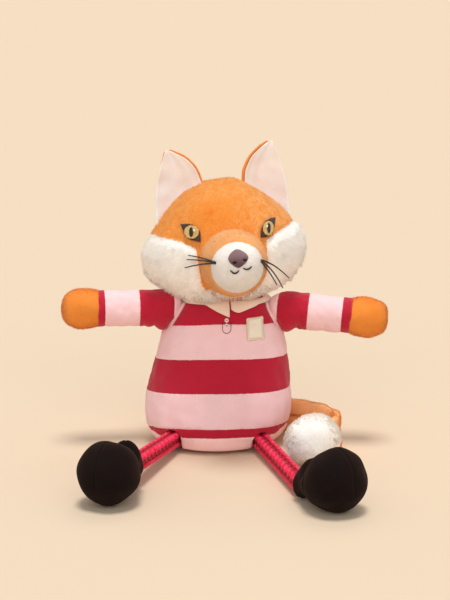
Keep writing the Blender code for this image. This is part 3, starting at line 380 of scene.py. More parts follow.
def roughened(piece, amount, scale, seed):
    places = places_of(piece.data)
    set_places(piece.data, places + normals_of(piece.data) * (amount * ripple(places, scale, seed))[:, None])
    return piece


def puffed(piece, cap, pins=None, shrink=0.0012):
    """Fill a closed cloth form: the Cloth simulation swells it, and no point moves further than the cap."""
    mesh = piece.data
    start = places_of(mesh)
    set_places(mesh, start - normals_of(mesh) * shrink)
    if pins is not None:
        group = piece.vertex_groups.new(name="pins")
        for index, weight in enumerate(pins):
            if weight > 0.01:
                group.add([index], float(weight), "REPLACE")
    modifier = piece.modifiers.new("cloth", "CLOTH")
    settings = modifier.settings
    settings.quality = 6
    settings.mass = 0.004
    settings.tension_stiffness = 18
    settings.compression_stiffness = 12
    settings.shear_stiffness = 8
    settings.bending_stiffness = 0.4
    settings.use_pressure = True
    settings.uniform_pressure_force = 4.0
    settings.effector_weights.gravity = 0.0
    modifier.collision_settings.use_collision = False
    modifier.point_cache.frame_start = 1
    modifier.point_cache.frame_end = SIM_FRAMES
    if pins is not None:
        settings.vertex_group_mass = "pins"
        settings.pin_stiffness = 1.0
    for number in range(1, SIM_FRAMES + 1):
        scene.frame_set(number)
    applied(piece)
    scene.frame_set(1)
    moved = places_of(piece.data) - start
    length = np.linalg.norm(moved, axis=1, keepdims=True)
    set_places(piece.data, start + moved * np.minimum(1, cap / np.maximum(length, 1e-9)))
    if pins is not None:
        piece.vertex_groups.clear()
    return piece


def stuffed(name, rings, cap, shrink=0.0006, before=2, after=2):
    """Closed form over rings, filled by the Cloth simulation; before and after are levels of smoothing."""
    form = puffed(subdivided(make_object(name, *loft(rings)), before), cap, shrink=shrink)
    return subdivided(form, after) if after else form


def tree_of(piece):
    bm = bmesh.new()
    bm.from_mesh(piece.data)
    tree = BVHTree.FromBMesh(bm)
    bm.free()
    return tree


def finished(piece, body, nodes=()):
    """Let a piece ride on its body, and hide the CAD nodes that it stands for."""
    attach(piece, body)
    if nodes:
        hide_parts(*nodes)
    return piece


def tube(path, radius, sides=6):
    """Vertices and faces of a round thread along a path; radius may be one number or one for each point."""
    path = [Vector(point) for point in path]
    radii = radius if hasattr(radius, "__len__") else [radius] * len(path)
    rings, normal = [], None
    for index, place in enumerate(path):
        along = (path[min(index + 1, len(path) - 1)] - path[max(index - 1, 0)]).normalized()
        if normal is None:
            normal = along.orthogonal().normalized()
        normal = (normal - along * normal.dot(along)).normalized()
        other = along.cross(normal)
        turns = [math.tau * step / sides for step in range(sides)]
        rings.append([place + (normal * math.cos(turn) + other * math.sin(turn)) * radii[index] for turn in turns])
    return loft(rings)


def gathered(parts):
    """One list of vertices and faces from several."""
    vertices, faces = [], []
    for some_vertices, some_faces in parts:
        start = len(vertices)
        vertices.extend(some_vertices)
        faces.extend(tuple(index + start for index in face) for face in some_faces)
    return vertices, faces


def pile(name, skin, count, material, seed, comb, length, width, lean, bend=0.5, rough=0.16, keep=None, size=None,
         clump=None):
    """Fur of flat tapered hairs on a skin. comb is the direction that hairs lie in, or a function of their roots and
    normals. keep chooses roots, size scales hairs, and clump is (spacing, pull, hairs) of the tufts that the tips
    draw together in."""
    places, normals, triangles = skin
    source = np.random.default_rng(seed)
    corners = places[triangles]
    areas = np.linalg.norm(np.cross(corners[:, 1] - corners[:, 0], corners[:, 2] - corners[:, 0]), axis=1)
    chosen = source.choice(len(triangles), count, p=areas / areas.sum())
    first, second = source.random(count), source.random(count)
    flip = first + second > 1
    first[flip], second[flip] = 1 - first[flip], 1 - second[flip]
    weights = np.stack([1 - first - second, first, second], 1)[:, :, None]
    roots = (corners[chosen] * weights).sum(1)
    up = unit((normals[triangles[chosen]] * weights).sum(1))
    if keep is not None:
        kept = keep(roots)
        source.random(count)
        roots, up = roots[kept], up[kept]
    number = len(roots)
    scale = np.ones(number) if size is None else size(roots)
    scale = (scale * source.uniform(0.7, 1.15, number))[:, None]
    lying = comb(roots, up) if callable(comb) else np.tile(np.array(comb), (number, 1))
    lying = lying - up * (lying * up).sum(1, keepdims=True)
    jitter = source.normal(size=(number, 3)) * rough
    start = unit(up * (1 - lean) + lying * lean + jitter)
    middle = roots + start * length * 0.5 * scale
    end = unit(start + lying * bend + jitter * 0.6)
    tips = middle + end * length * 0.5 * scale
    if clump is not None:
        spacing, pull, hairs = clump
        picked = source.choice(number, max(8, number // hairs), replace=False)
        finder = KDTree(len(picked))
        for index, root in enumerate(roots[picked]):
            finder.insert(root, index)
        finder.balance()
        nearest = np.array([finder.find(root)[1] for root in roots])
        goal = tips[picked][nearest]
        far = np.linalg.norm(goal - tips, axis=1, keepdims=True)
        share = pull * np.clip(1.4 - far / (spacing * 2), 0, 1)
        tips = tips + (goal - tips) * share
        middle = middle + (goal - tips) * share * 0.25
    side = unit(np.cross(start, up) + source.normal(size=(number, 3)) * 0.18)
    side = side - start * (side * start).sum(1, keepdims=True)
    facing = np.sign((np.cross(side, start) * up).sum(1, keepdims=True))
    side = unit(side) * np.where(facing == 0, 1, facing) * width * 0.5
    corners = [roots - side, roots + side, middle - side * 0.85, middle + side * 0.85, tips]
    points = np.stack(corners, 1).reshape(-1, 3)
    base = np.arange(number) * 5
    mesh = bpy.data.meshes.new(name)
    mesh.vertices.add(len(points))
    mesh.vertices.foreach_set("co", points.astype(np.float32).ravel())
    loops = np.stack([base, base + 1, base + 3, base + 2, base + 2, base + 3, base + 4], 1).ravel()
    mesh.loops.add(len(loops))
    mesh.loops.foreach_set("vertex_index", loops.astype(np.int32))
    mesh.polygons.add(number * 2)
    starts = (np.arange(number)[:, None] * 7 + np.array([[0, 4]])).ravel()
    mesh.polygons.foreach_set("loop_start", starts.astype(np.int32))
    mesh.update(calc_edges=True)
    mesh.validate()
    mesh.shade_smooth()
    soft = unit(up[:, None, :] + start[:, None, :] * 0.2 + np.zeros((number, 5, 3)))
    mesh.normals_split_custom_set_from_vertices(soft.reshape(-1, 3).astype(np.float32))
    store(mesh, "tint", np.repeat(source.random(number), 5))
    store(mesh, "along", np.tile(np.array([0, 0, 0.5, 0.5, 1.0]), number))
    store(mesh, "rest_place", np.repeat(roots, 5, 0), "FLOAT_VECTOR")
    mesh.materials.append(material)
    made = bpy.data.objects.new(name, mesh)
    made.visible_shadow = made.visible_diffuse = False
    scene.collection.objects.link(made)
    return made


def skin_of(piece):
    return places_of(piece.data), normals_of(piece.data), triangles_of(piece.data)


def hair_material(name, root, tip, other, patch_scale=60.0, sheen=0.15, tint=(255, 255, 255)):
    """Fur whose roots are painted darker, as shade between the hairs; other is the colour of patches. Each colour may
    be a function.
    """
    material, tree, shader = new_material(name, 0.9, sheen, tint, 0.15)
    where = rest_place(tree)
    colours = [value(tree) if callable(value) else linear(value) for value in (root, tip, other)]
    patch = remap(tree, noise_value(tree, where, patch_scale, 2.0), 0.4, 0.65)
    tips = mix_colour(tree, patch, colours[1], colours[2])
    # Painted shade: each hair runs from the darker root colour at its base to its tip colour.
    along = remap(tree, read_value(tree, "along"), 0.0, 0.8)
    colour = mix_colour(tree, along, colours[0], tips)
    light = remap(tree, read_value(tree, "tint"), 0.0, 1.0, 0.90, 1.06)
    grey = add_node(tree, "CombineColor", {0: light, 1: light, 2: light}).outputs[0]
    connect(tree, shader.inputs["Base Color"], mix_colour(tree, 1.0, colour, grey, "MULTIPLY"))
    return material


# Shirt, which is the body's own skin

BODY_WIDTH, BODY_DEPTH, BODY_HEIGHT = 0.120, 0.094, 0.122
BODY_HEIGHTS = (0.0, 0.035, 0.12, 0.25, 0.48, 0.74, 0.90, 0.98, 1.01)
BODY_WIDTHS = (0.74, 0.90, 0.99, 1.025, 0.96, 0.85, 0.76, 0.58, 0.42)
BODY_DEPTHS = (0.92, 1.01, 1.05, 1.02, 0.90, 0.74, 0.66, 0.52, 0.38)
BODY_SQUARES = (0.83, 0.83, 0.88, 0.96, 1.0, 1.0, 1.0, 1.0, 1.0)
HIP_HEIGHT, ROPE_LENGTH, ARCH_RADIUS = 0.0092, 0.1175, 0.0082
STRIPE_LEVELS = (0.0221, 0.0498, 0.0762, 0.1029)
RED, PINK = (184, 30, 54), (246, 206, 208)


def body_centre(height):
    share = height / BODY_HEIGHT
    return Vector((0.0080 * (share - 0.42), 0.009 * max(share, 0.0) ** 1.5, height))


def hip_place(side):
    return Vector((side * 0.032, -0.014 if side < 0 else -0.032, HIP_HEIGHT))


def rope_direction(side):
    angle = math.radians(17.3 if side < 0 else 13.4)
    rise = ((0.0185 if side < 0 else 0.0095) - HIP_HEIGHT) / ROPE_LENGTH
    level = math.sqrt(1 - rise * rise)
    return Vector((side * math.sin(angle) * level, -math.cos(angle) * level, rise))


def wobbled(tree, name):
    """A stored distance with the nap's small unevenness."""
    noise = noise_value(tree, rest_place(tree), 900.0, 2.0)
    wobble = maths(tree, "MULTIPLY", remap(tree, noise, 0.2, 0.8, -1.0, 1.0), 0.0003)
    return maths(tree, "ADD", read_value(tree, name), wobble)


def seam_shaded(tree, colour):
    # Painted shade: up to 30 % deep red along the seams, in place of the shade in their creases.
    seam = remap(tree, read_value(tree, "seam"), 0.00020, 0.00070, 0.30, 0.0)
    return mix_colour(tree, seam, colour, linear((140, 24, 44)))


def shirt_colour(tree):
    """Stripes by level over the pale base, pink shoulders past the raglan seams, and painted shade along the seams."""
    colour = bands(tree, wobbled(tree, "level"), STRIPE_LEVELS, (RED, PINK, RED, PINK, RED))
    base = remap(tree, wobbled(tree, "base"), -0.00015, 0.00015)
    colour = mix_colour(tree, base, linear((253, 208, 204)), colour)
    shoulder = remap(tree, wobbled(tree, "raglan"), -0.00015, 0.00015)
    return seam_shaded(tree, mix_colour(tree, shoulder, colour, linear(PINK)))


shirt_rings = []
for height_share, width_share, depth_share, square in zip(BODY_HEIGHTS, BODY_WIDTHS, BODY_DEPTHS, BODY_SQUARES):
    middle = body_centre(BODY_HEIGHT * height_share)
    shirt_rings.append(ring(middle, Vector((BODY_WIDTH / 2 * width_share, 0, 0)),
                            Vector((0, BODY_DEPTH / 2 * depth_share, 0)), 12, 2.4 * square))
shirt = subdivided(make_object("shirt", *loft(shirt_rings)), 2)
heights = places_of(shirt.data)[:, 2]
held = np.maximum(smooth_step(heights, 0.112, 0.120), smooth_step(-heights, -0.010, -0.002))
shirt = puffed(shirt, 0.003, pins=held)
shirt = subdivided(shirt, 3)
places, outward = places_of(shirt.data), normals_of(shirt.data)
x, y, z = places.T
middle_x = 0.0080 * (z / BODY_HEIGHT - 0.42)
middle_y = 0.009 * np.maximum(z / BODY_HEIGHT, 0) ** 1.5
round_x, round_y = (x - middle_x) / (BODY_WIDTH / 2), (y - middle_y) / (BODY_DEPTH / 2)
facing = np.abs(round_y) / np.maximum(np.hypot(round_x, round_y), 1e-6)
on_right = smooth_step(round_x, -0.3, 0.3)
level = z + (0.0070 - 0.0040 * on_right + 0.0022 * (1 - smooth_step(z, 0.018, 0.040))) * (1 - facing)
base_edge = 0.0148 + 0.0060 * smooth_step(1 - facing, 0.25, 0.85)
left_line = -0.0276 - (0.1174 - z) * 0.63
right_line = 0.0371 + (0.1165 - z) * 0.478
raglan = np.minimum(np.maximum(left_line - x, x - right_line), z - 0.0965)
stripe_seam = np.min(np.abs(level[:, None] - np.array([STRIPE_LEVELS])), axis=1)
stripe_seam = np.minimum(stripe_seam, np.abs(level - base_edge))
store(shirt.data, "base", level - base_edge)
stripe_seam = np.where(raglan > 0, 1.0, stripe_seam)
side_seam = np.where(z > 0.0148, np.abs(y - body_centre(BODY_HEIGHT / 2).y), 1.0)
raglan_seam = np.where(z > 0.0985, np.abs(np.maximum(left_line - x, x - right_line)), 1.0)
store(shirt.data, "level", level)
store(shirt.data, "raglan", raglan)
sewn = np.minimum(side_seam, raglan_seam)
# The seam distance also places the painted shade along the seams.
store(shirt.data, "seam", np.minimum(sewn, stripe_seam + 0.0003))
groove = 0.00045 * np.exp(-(stripe_seam / 0.0009) ** 2) + 0.0006 * np.exp(-(sewn / 0.0010) ** 2)
swell = 0.0006 * ripple(places, 28, 3) + 0.00035 * ripple(places, 70, 4)
pucker = 0.00025 * ripple(places, 210, 5) * np.exp(-(np.minimum(stripe_seam, side_seam) / 0.003) ** 2)
above_floor = smooth_step(z, 0.0005, 0.012)
places = places + outward * (swell * above_floor + pucker - groove)[:, None]
places[:, 2] = np.maximum(places[:, 2], 0.0002)
for side in (-1, 1):
    offset, along = places - np.array(hip_place(side)), np.array(rope_direction(side))
    reach = offset @ along
    aside = np.hypot(offset[:, 0] * along[1] - offset[:, 1] * along[0], np.minimum(reach, 0))
    arch = HIP_HEIGHT + reach * along[2] + np.sqrt(np.maximum(ARCH_RADIUS ** 2 - aside ** 2, 0))
    places[:, 2] = np.where(aside < ARCH_RADIUS, np.maximum(places[:, 2], arch), places[:, 2])
set_places(shirt.data, places)
keep_rest(shirt)
shirt.data.materials.append(velour("shirt_cloth", shirt_colour, tint=(255, 225, 225), shift=0.07))
finished(shirt, "torso", ("shirt_front", "shirt_back", "base_panel"))
shirt_tree = tree_of(shirt)


def chest(across, height):
    """Place and normal of the shirt's front."""
    place, normal, _, _ = shirt_tree.ray_cast(Vector((across, -BODY_DEPTH, height)), Vector((0, 1, 0)))
    return place, normal


# Arms

ARM_LENGTH, ARM_RADIUS = 0.0820, 0.0150
ARM_REACHES = (-0.180, -0.120, 0.02, 0.14, 0.26, 0.50, 0.640)
ARM_RADII = (0.42, 0.85, 1.04, 1.02, 0.99, 0.965, 0.985)
ARM_SAGS = (0.0, 0.0, 0.02, 0.03, 0.01, 0.0, 0.0)
PAW_REACHES = (0.60, 0.64, 0.74, 0.84, 0.94, 0.985, 1.0)
PAW_RADII = (0.80, 0.97, 1.06, 1.07, 0.90, 0.62, 0.34)


def shoulder_place(side):
    return body_centre(0.1115) + Vector((side * 0.050, -0.006, -0.0018 if side > 0 else 0))


def arm_frame(side):
    """Shoulder, direction, level and upright of an arm."""
    drop = -0.001 if side < 0 else 0.0065
    direction = Vector((side * 0.082, -0.010, -drop)).normalized()
    across = direction.cross(Vector((0, 0, 1))).normalized()
    return shoulder_place(side), direction, across, across.cross(direction)


def sleeve_colour(edges):
    return lambda tree: seam_shaded(tree, bands(tree, wobbled(tree, "reach"), edges, (PINK, RED, PINK, RED)))


paw_hair = hair_material("paw_pile", (238, 134, 50), (252, 156, 70), (246, 144, 56), tint=(255, 210, 160))
paw_skin = velour("paw_skin", (240, 140, 56), shift=0.08, sheen=0.1)
SLEEVES = ((-1, "left", (-0.0080, 0.0200, 0.0480)), (1, "right", (-0.0070, 0.0180, 0.0455)))
for side, label, sleeve_edges in SLEEVES:
    shoulder, direction, across, upright = arm_frame(side)
    rings = []
    for reach, radius, sag in zip(ARM_REACHES, ARM_RADII, ARM_SAGS):
        rings.append(ring(shoulder + direction * ARM_LENGTH * reach - upright * ARM_RADIUS * sag,
                          across * ARM_RADIUS * radius, upright * ARM_RADIUS * radius, 12))
    cuff = ARM_LENGTH * ARM_REACHES[-1]
    for forward, radius in ((0.0008, 0.955), (0.0002, 0.90), (-0.002, 0.80)):
        rings.append(ring(shoulder + direction * (cuff + forward), across * ARM_RADIUS * radius,
                          upright * ARM_RADIUS * radius, 12))
    sleeve = subdivided(make_object("sleeve_cloth_" + label, *loft(rings)), 4)
    places, outward = places_of(sleeve.data), normals_of(sleeve.data)
    offset = places - np.array(shoulder)
    reach = offset @ np.array(direction)
    down = -(outward @ np.array(upright))
    under = np.clip(down * 1.2 + 0.2, 0, 1)
    folds = np.zeros(len(places))
    for at, deep, wide, slope in ((0.0085, 0.0015, 0.0024, 0.25), (0.0150, 0.0005, 0.0018, -0.25),
                                  (0.0300, 0.0004, 0.0020, 0.2)):
        bent = reach - at - slope * (offset @ np.array(across))
        folds += deep * np.exp(-(bent / wide) ** 2)
    pouch = 0.0040 * np.exp(-((reach - 0.0010) / 0.0046) ** 2) * np.clip(down - 0.15, 0, 1)
    stripe_seam = np.min(np.abs(reach[:, None] - np.array([sleeve_edges])), axis=1)
    groove = 0.0004 * np.exp(-(stripe_seam / 0.0009) ** 2)
    top_seam = np.where(down > 0, np.abs(offset @ np.array(across)), 1.0)
    groove += 0.0003 * np.exp(-(top_seam / 0.0008) ** 2)
    swell = 0.0005 * ripple(places, 45, 11 + side) + 0.0002 * ripple(places, 130, 21 + side)
    set_places(sleeve.data, places + outward * (swell - groove - folds * under + pouch)[:, None])
    store(sleeve.data, "reach", reach)
    # The seam distance also places the painted shade along the sleeve's seams.
    store(sleeve.data, "seam", np.minimum(stripe_seam + 0.0003, top_seam))
    keep_rest(sleeve)
    cloth = velour("sleeve_velour_" + label, sleeve_colour(sleeve_edges), tint=(255, 225, 225), shift=0.07)
    sleeve.data.materials.append(cloth)
    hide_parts("sleeve_" + label)
    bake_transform(sleeve)

    rings = []
    for share, radius in zip(PAW_REACHES, PAW_RADII):
        rings.append(ring(shoulder + direction * ARM_LENGTH * share, across * ARM_RADIUS * radius,
                          upright * ARM_RADIUS * radius, 10, 2.2))
    paw = keep_rest(roughened(stuffed("paw_pile_" + label, rings, 0.002, after=1), 0.0004, 60, 31 + side))
    paw.data.materials.append(paw_skin)
    finished(paw, "arm_" + label, ("paw_" + label,))

    def past_cuff(roots, shoulder=shoulder, direction=direction):
        return (roots - np.array(shoulder)) @ np.array(direction) > 0.0505

    away = np.array(direction) * 0.9 + np.array((0, 0, -0.3))
    fur = pile("paw_fur_" + label, skin_of(paw), 26000, paw_hair, 41 + side, away, 0.0018, 0.00028, 0.45, rough=0.3,
               keep=past_cuff)
    finished(fur, "arm_" + label)


# Collar, two thin flaps that lie over the shoulders

def collar_drop(turn, side):
    """How far a flap hangs: the left one ends in a point, the right one in a round corner."""
    share = max(0.0, 1 - (turn - 1.0) / 44.0)
    if side < 0:
        return 0.0030 + 0.0082 * share ** 1.15
    corner = max(0.0, 1 - turn / 14.0)
    return 0.0030 + 0.0068 * share - 0.0048 * corner ** 1.5


def around_shirt(turn, side, height, lift):
    """Point over the shirt at a bearing from the front, in degrees."""
    angle = math.radians(8.0 + side * turn)
    outward = Vector((math.sin(angle), -math.cos(angle), 0))
    centre = body_centre(height)
    place, normal, _, _ = shirt_tree.ray_cast(centre + outward * BODY_WIDTH, -outward)
    return place + normal * lift


# Cream cloth, its colour darkened in part as painted shade from the head above.
collar_cloth = velour("collar_cloth", (240, 216, 196), shift=0.08, sheen=0.2, grain=1900.0, depth=0.00012)
for side, label in ((-1, "left"), (1, "right")):
    steps, downs = 56, 8
    vertices = []
    for step in range(steps + 1):
        turn = 1.0 + (178.5 - 1.0) * step / steps
        for down in range(downs + 1):
            share = down / downs
            height = 0.1192 - collar_drop(turn, side) * share
            flare = 0.0006 + 0.0009 * math.sin(math.pi * min(1.0, share * 1.15)) + 0.0003 * share
            vertices.append(around_shirt(turn, side, height, flare))
    flap = make_object("collar_flap_" + label, vertices, grid_faces(steps, downs))
    outer = normals_of(flap.data)
    if (outer * (places_of(flap.data) - np.array(body_centre(0.117)))).sum() < 0:
        flap.data.flip_normals()
    keep_rest(subdivided(thickened(flap, 0.0009, 1.0), 1))
    flap.data.materials.append(collar_cloth)
    finished(flap, "torso", ("collar_" + label,))


# Placket, buttons and the plain patch

placket_thread = two_tone("placket_thread", (60, 12, 24), (96, 22, 38), 2500.0, 0.7, 0.1)
half, top, bottom = 0.0034, 0.1050, 0.0963
outline = [(-half, top)]
for step in range(13):
    angle = math.pi * (1 + step / 12)
    outline.append((half * math.cos(angle), bottom + half + half * math.sin(angle)))
outline.append((half, top))
dashes = []
for first, second in zip(outline, outline[1:]):
    length = math.dist(first, second)
    count = max(1, round(length / 0.0011))
    for dash in range(count):
        path = []
        for share in (0.04, 0.3, 0.7, 0.96):
            along = (dash + share) / count
            across = first[0] + (second[0] - first[0]) * along
            height = first[1] + (second[1] - first[1]) * along
            place, normal = chest(0.0050 + across, height)
            path.append(place + normal * (0.00005 if share in (0.04, 0.96) else 0.00030))
        dashes.append(tube(path, 0.00024, 5))
placket = keep_rest(make_object("placket_stitches", *gathered(dashes), placket_thread))
finished(placket, "torso", ("placket_stitching",))

button_material = two_tone("button_shell", (238, 222, 212), (250, 240, 232), 700.0, 0.3, specular=0.5,
                           detail=3.0, bump=(0.2, 0.0001))
for label, height in (("upper", 0.1062), ("lower", 0.1020)):
    place, normal = chest(0.0050, height)
    turn = Vector((0, 0, 1)).rotation_difference(normal).to_matrix()
    profile = ((0.0, 0.00055), (0.0007, 0.00055), (0.00115, 0.0007), (0.0014, 0.00105), (0.00165, 0.0009),
               (0.0017, 0.0005), (0.0016, 0.0001))
    turns = [math.tau * step / 28 for step in range(28)]
    rings = [[place + turn @ Vector((radius * math.cos(angle), radius * math.sin(angle), high)) for angle in turns]
             for radius, high in profile[1:]]
    button = keep_rest(make_object("button_disc_" + label, *loft(rings), button_material))
    finished(button, "torso", ("button_" + label,))
    dots = []
    for across in (-0.00045, 0.00045):
        path = [place + turn @ Vector((across, up, lift)) for up, lift in
                ((-0.0005, 0.0006), (0.0, 0.00095), (0.0005, 0.0006))]
        dots.append(tube(path, 0.00018, 6))
    knots = keep_rest(make_object("button_thread_" + label, *gathered(dots), placket_thread))
    finished(knots, "torso")

patch_material, patch_tree, patch_shader = new_material("patch_weave", 0.9, 0.15, specular=0.1)
where = rest_place(patch_tree)
split = add_node(patch_tree, "SeparateXYZ", {0: where})
warp = maths(patch_tree, "SINE", maths(patch_tree, "MULTIPLY", split.outputs[0], 9000.0))
weft = maths(patch_tree, "SINE", maths(patch_tree, "MULTIPLY", split.outputs[2], 9000.0))
weave = maths(patch_tree, "MULTIPLY", warp, weft)
patch_noise = noise_value(patch_tree, where, 300.0, 3.0)
patch_base = mix_colour(patch_tree, patch_noise, linear((252, 242, 218)), linear((255, 250, 234)))
connect(patch_tree, patch_shader.inputs["Base Color"], mix_colour(
    patch_tree, remap(patch_tree, weave, -1.0, 1.0, 0.0, 0.3), patch_base, linear((236, 216, 182))))
set_bump(patch_tree, patch_shader, weave, 0.5, 0.0002)


def patch_place(across, upward, lift):
    tilt = math.radians(3.0)
    place, normal = chest(0.0278 + across * math.cos(tilt) - upward * math.sin(tilt),
                          0.0990 + across * math.sin(tilt) + upward * math.cos(tilt))
    return place + normal * lift


patch_w, patch_h = 0.0062, 0.0081
grid_x, grid_y = 22, 28
vertices = []
for row in range(grid_y + 1):
    for column in range(grid_x + 1):
        across, upward = (2 * column / grid_x - 1), (2 * row / grid_y - 1)
        edge = max(abs(across), abs(upward))
        lift = 0.0010 - 0.0004 * max(0.0, edge - 0.9) * 10
        vertices.append(patch_place(across * patch_w, upward * patch_h, lift))
patch = make_object("patch_cloth", vertices, grid_faces(grid_y, grid_x))
if normals_of(patch.data)[:, 1].mean() > 0:
    patch.data.flip_normals()
keep_rest(thickened(patch, 0.0009, -1.0))
patch.data.materials.append(patch_material)
finished(patch, "torso", ("chest_patch",))
border = []
source = np.random.default_rng(5)
corners = [(-1, -1), (1, -1), (1, 1), (-1, 1), (-1, -1)]
for (ax, ay), (bx, by) in zip(corners, corners[1:]):
    length = 2 * (patch_w if ay == by else patch_h)
    count = int(length / 0.00055)
    for stitch in range(count):
        along = (stitch + 0.5) / count
        cx, cy = ax + (bx - ax) * along, ay + (by - ay) * along
        out_x, out_y = (0, ay) if ay == by else (ax, 0)
        path = []
        for share, lift in ((-0.0013, 0.0009), (-0.0006, 0.00145), (0.0001, 0.0013), (0.0006, 0.0004)):
            reach = share + source.normal() * 0.00008
            path.append(patch_place(cx * patch_w + out_x * reach, cy * patch_h + out_y * reach, lift))
        border.append(tube(path, 0.00026, 5))
stitch_material = two_tone("patch_stitch", (244, 228, 200), (253, 243, 224), 1200.0, 0.75, 0.2, 0.2)
edging = keep_rest(make_object("patch_edging", *gathered(border), stitch_material))
finished(edging, "torso")


# Head: an orange cover with two long-piled pale cheeks

HEAD_WIDTH, HEAD_DEPTH, HEAD_HEIGHT = 0.131, 0.100, 0.100
HEAD_HEIGHTS = (-0.87, -0.84, -0.72, -0.46, -0.12, 0.22, 0.56, 0.86, 1.00)
HEAD_WIDTHS = (0.32, 0.52, 0.70, 0.91, 1.02, 0.90, 0.68, 0.42, 0.16)
HEAD_DEPTHS = (0.36, 0.62, 0.82, 0.96, 1.01, 1.00, 0.90, 0.66, 0.28)
HEAD_BACKS = (0.06, 0.04, 0.0, 0.0, 0.0, 0.0, 0.02, 0.06, 0.10)
head_frame = (Matrix.Translation(Vector((0.0015, -0.002, 0.1676))) @ Matrix.Rotation(math.radians(8.5), 4, "Z")
              @ Matrix.Rotation(math.radians(-6.0), 4, "X") @ Matrix.Rotation(math.radians(-4.0), 4, "Y"))
head_turn = head_frame.to_3x3()
HEAD_ACROSS, HEAD_BACK, HEAD_UP = np.array(head_turn).T
HEAD_PLACE = np.array(head_frame.translation)

rings = []
for height, width, depth, back in zip(HEAD_HEIGHTS, HEAD_WIDTHS, HEAD_DEPTHS, HEAD_BACKS):
    rings.append(ring(head_frame @ Vector((0, HEAD_DEPTH / 2 * back, HEAD_HEIGHT / 2 * height)),
                      head_turn @ Vector((HEAD_WIDTH / 2 * width, 0, 0)),
                      head_turn @ Vector((0, HEAD_DEPTH / 2 * depth, 0)), 12))
head = stuffed("head_skin", rings, 0.002, 0.0008)


def in_head(places):
    """Places across, back and up from the head's centre."""
    offset = places - HEAD_PLACE
    return offset @ HEAD_ACROSS, offset @ HEAD_BACK, offset @ HEAD_UP


def outside(places, name, gap):
    """Places kept a gap outside a CAD node that stays."""
    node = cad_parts[name]
    bm = bmesh.new()
    bm.from_mesh(node.data)
    bm.transform(node.matrix_world)
    tree = BVHTree.FromBMesh(bm)
    bm.free()
    for index, place in enumerate(places):
        near, normal, _, _ = tree.find_nearest(Vector(place))
        if (Vector(place) - near).dot(normal) < gap:
            places[index] = near + normal * gap
    return places


SEAM_ACROSS = (0.0, 0.012, 0.022, 0.0250, 0.0265, 0.0275, 0.0290, 0.037, 0.046, 0.052, 0.056, 0.070)
SEAM_UP = (-0.043, -0.039, -0.034, -0.028, -0.014, -0.002, 0.0005, 0.0045, 0.0076, 0.0095, 0.0106, 0.011)


def cheek_depth(places):
    """How far below the cheek's seam a place is; it is under zero on the orange."""
    across, back, up = in_head(places)
    seam = np.interp(np.abs(across), SEAM_ACROSS, SEAM_UP)
    return np.minimum(np.minimum(np.maximum(seam - up, -0.02), 1.0), 0.021 - back)


places, outward = places_of(head.data), normals_of(head.data)
depth = cheek_depth(places)
across, back, up = in_head(places)
full = 0.0018 * smooth_step(depth, 0.0, 0.006)
crease = 0.0008 * np.exp(-(depth / 0.0016) ** 2)
places = places + outward * (0.0008 * ripple(places, 22, 51) + full - crease)[:, None]
sunk = 0.0034 * smooth_step(up, 0.026, 0.046) * smooth_step(-across, -0.016, 0.006)
slim = 0.0044 * smooth_step(-across, 0.018, 0.046) * np.exp(-((up - 0.016) / 0.020) ** 2)
low_slim = 0.0042 * smooth_step(-across, 0.022, 0.044) * smooth_step(-up, 0.018, 0.034)
places = places - HEAD_UP * sunk[:, None] + HEAD_ACROSS * (slim + low_slim)[:, None]
set_places(head.data, outside(places, "head_filling", 0.0004))
store(head.data, "cheek", depth)
keep_rest(head)


def head_colour(tree):
    step = remap(tree, read_value(tree, "cheek"), -0.0004, 0.0004)
    return mix_colour(tree, step, linear((232, 134, 48)), linear((254, 244, 232)))


head.data.materials.append(velour("head_skin_cloth", head_colour, shift=0.12, sheen=0.1))
finished(head, "head", ("head_cover", "cheek_left", "cheek_right"))
head_tree = tree_of(head)
head_skin = skin_of(head)


def spot(tree, centre, radius):
    """One at a place and falling to zero at a distance from it."""
    far = add_node(tree, "VectorMath", {0: rest_place(tree), 1: centre}, operation="DISTANCE").outputs["Value"]
    return remap(tree, far, radius * 0.2, radius, 1.0, 0.0)


DEEP_PATCHES = ((-0.012, 0.023, 0.022, 0.95), (-0.047, 0.010, 0.015, 0.7), (0.010, 0.040, 0.018, 0.5))


def forehead_patch(tree):
    """Pile that is deeper left of the forehead's middle and by the left cheek, and paler to the right."""
    split = add_node(tree, "SeparateXYZ", {0: rest_place(tree)})
    share = remap(tree, split.outputs[0], -0.020, 0.045)
    colour = mix_colour(tree, share, linear((244, 164, 84)), linear((249, 184, 116)))
    for across, upward, radius, amount in DEEP_PATCHES:
        centre = head_frame @ Vector((across, -0.045, upward))
        shade = maths(tree, "MULTIPLY", spot(tree, tuple(centre), radius), amount)
        colour = mix_colour(tree, shade, colour, linear((230, 120, 26)))
    return colour


GLOW = (255, 214, 170)
orange_hair = hair_material("orange_pile", (226, 128, 46), forehead_patch, (240, 150, 66), 170.0, tint=GLOW)
cream_hair = hair_material("cream_pile", (252, 244, 234), (255, 251, 245), (254, 246, 236), 70.0)


def comb_up_back(roots, up):
    """The forehead's nap lies up and back, and outward at the sides."""
    across, back, high = in_head(roots)
    return HEAD_UP * 0.75 + HEAD_BACK * 0.5 + HEAD_ACROSS * (across / 0.06)[:, None] * 0.6


def comb_cheek(roots, up):
    """The cheeks' pile lies outward and down."""
    across, back, high = in_head(roots)
    return (HEAD_ACROSS * (np.sign(across) * 0.8)[:, None] - HEAD_UP * 0.75 + HEAD_BACK * 0.25)


def cheek_part(side):
    return lambda roots: (cheek_depth(roots) > -0.0006) & (in_head(roots)[0] * side > 0)


finished(pile("head_fur", head_skin, 95000, orange_hair, 61, comb_up_back, 0.0024, 0.00046, 0.72,
              keep=lambda roots: cheek_depth(roots) < 0.0008), "head")


def cheek_size(roots):
    return 0.55 + 0.45 * smooth_step(cheek_depth(roots), 0.0, 0.010)


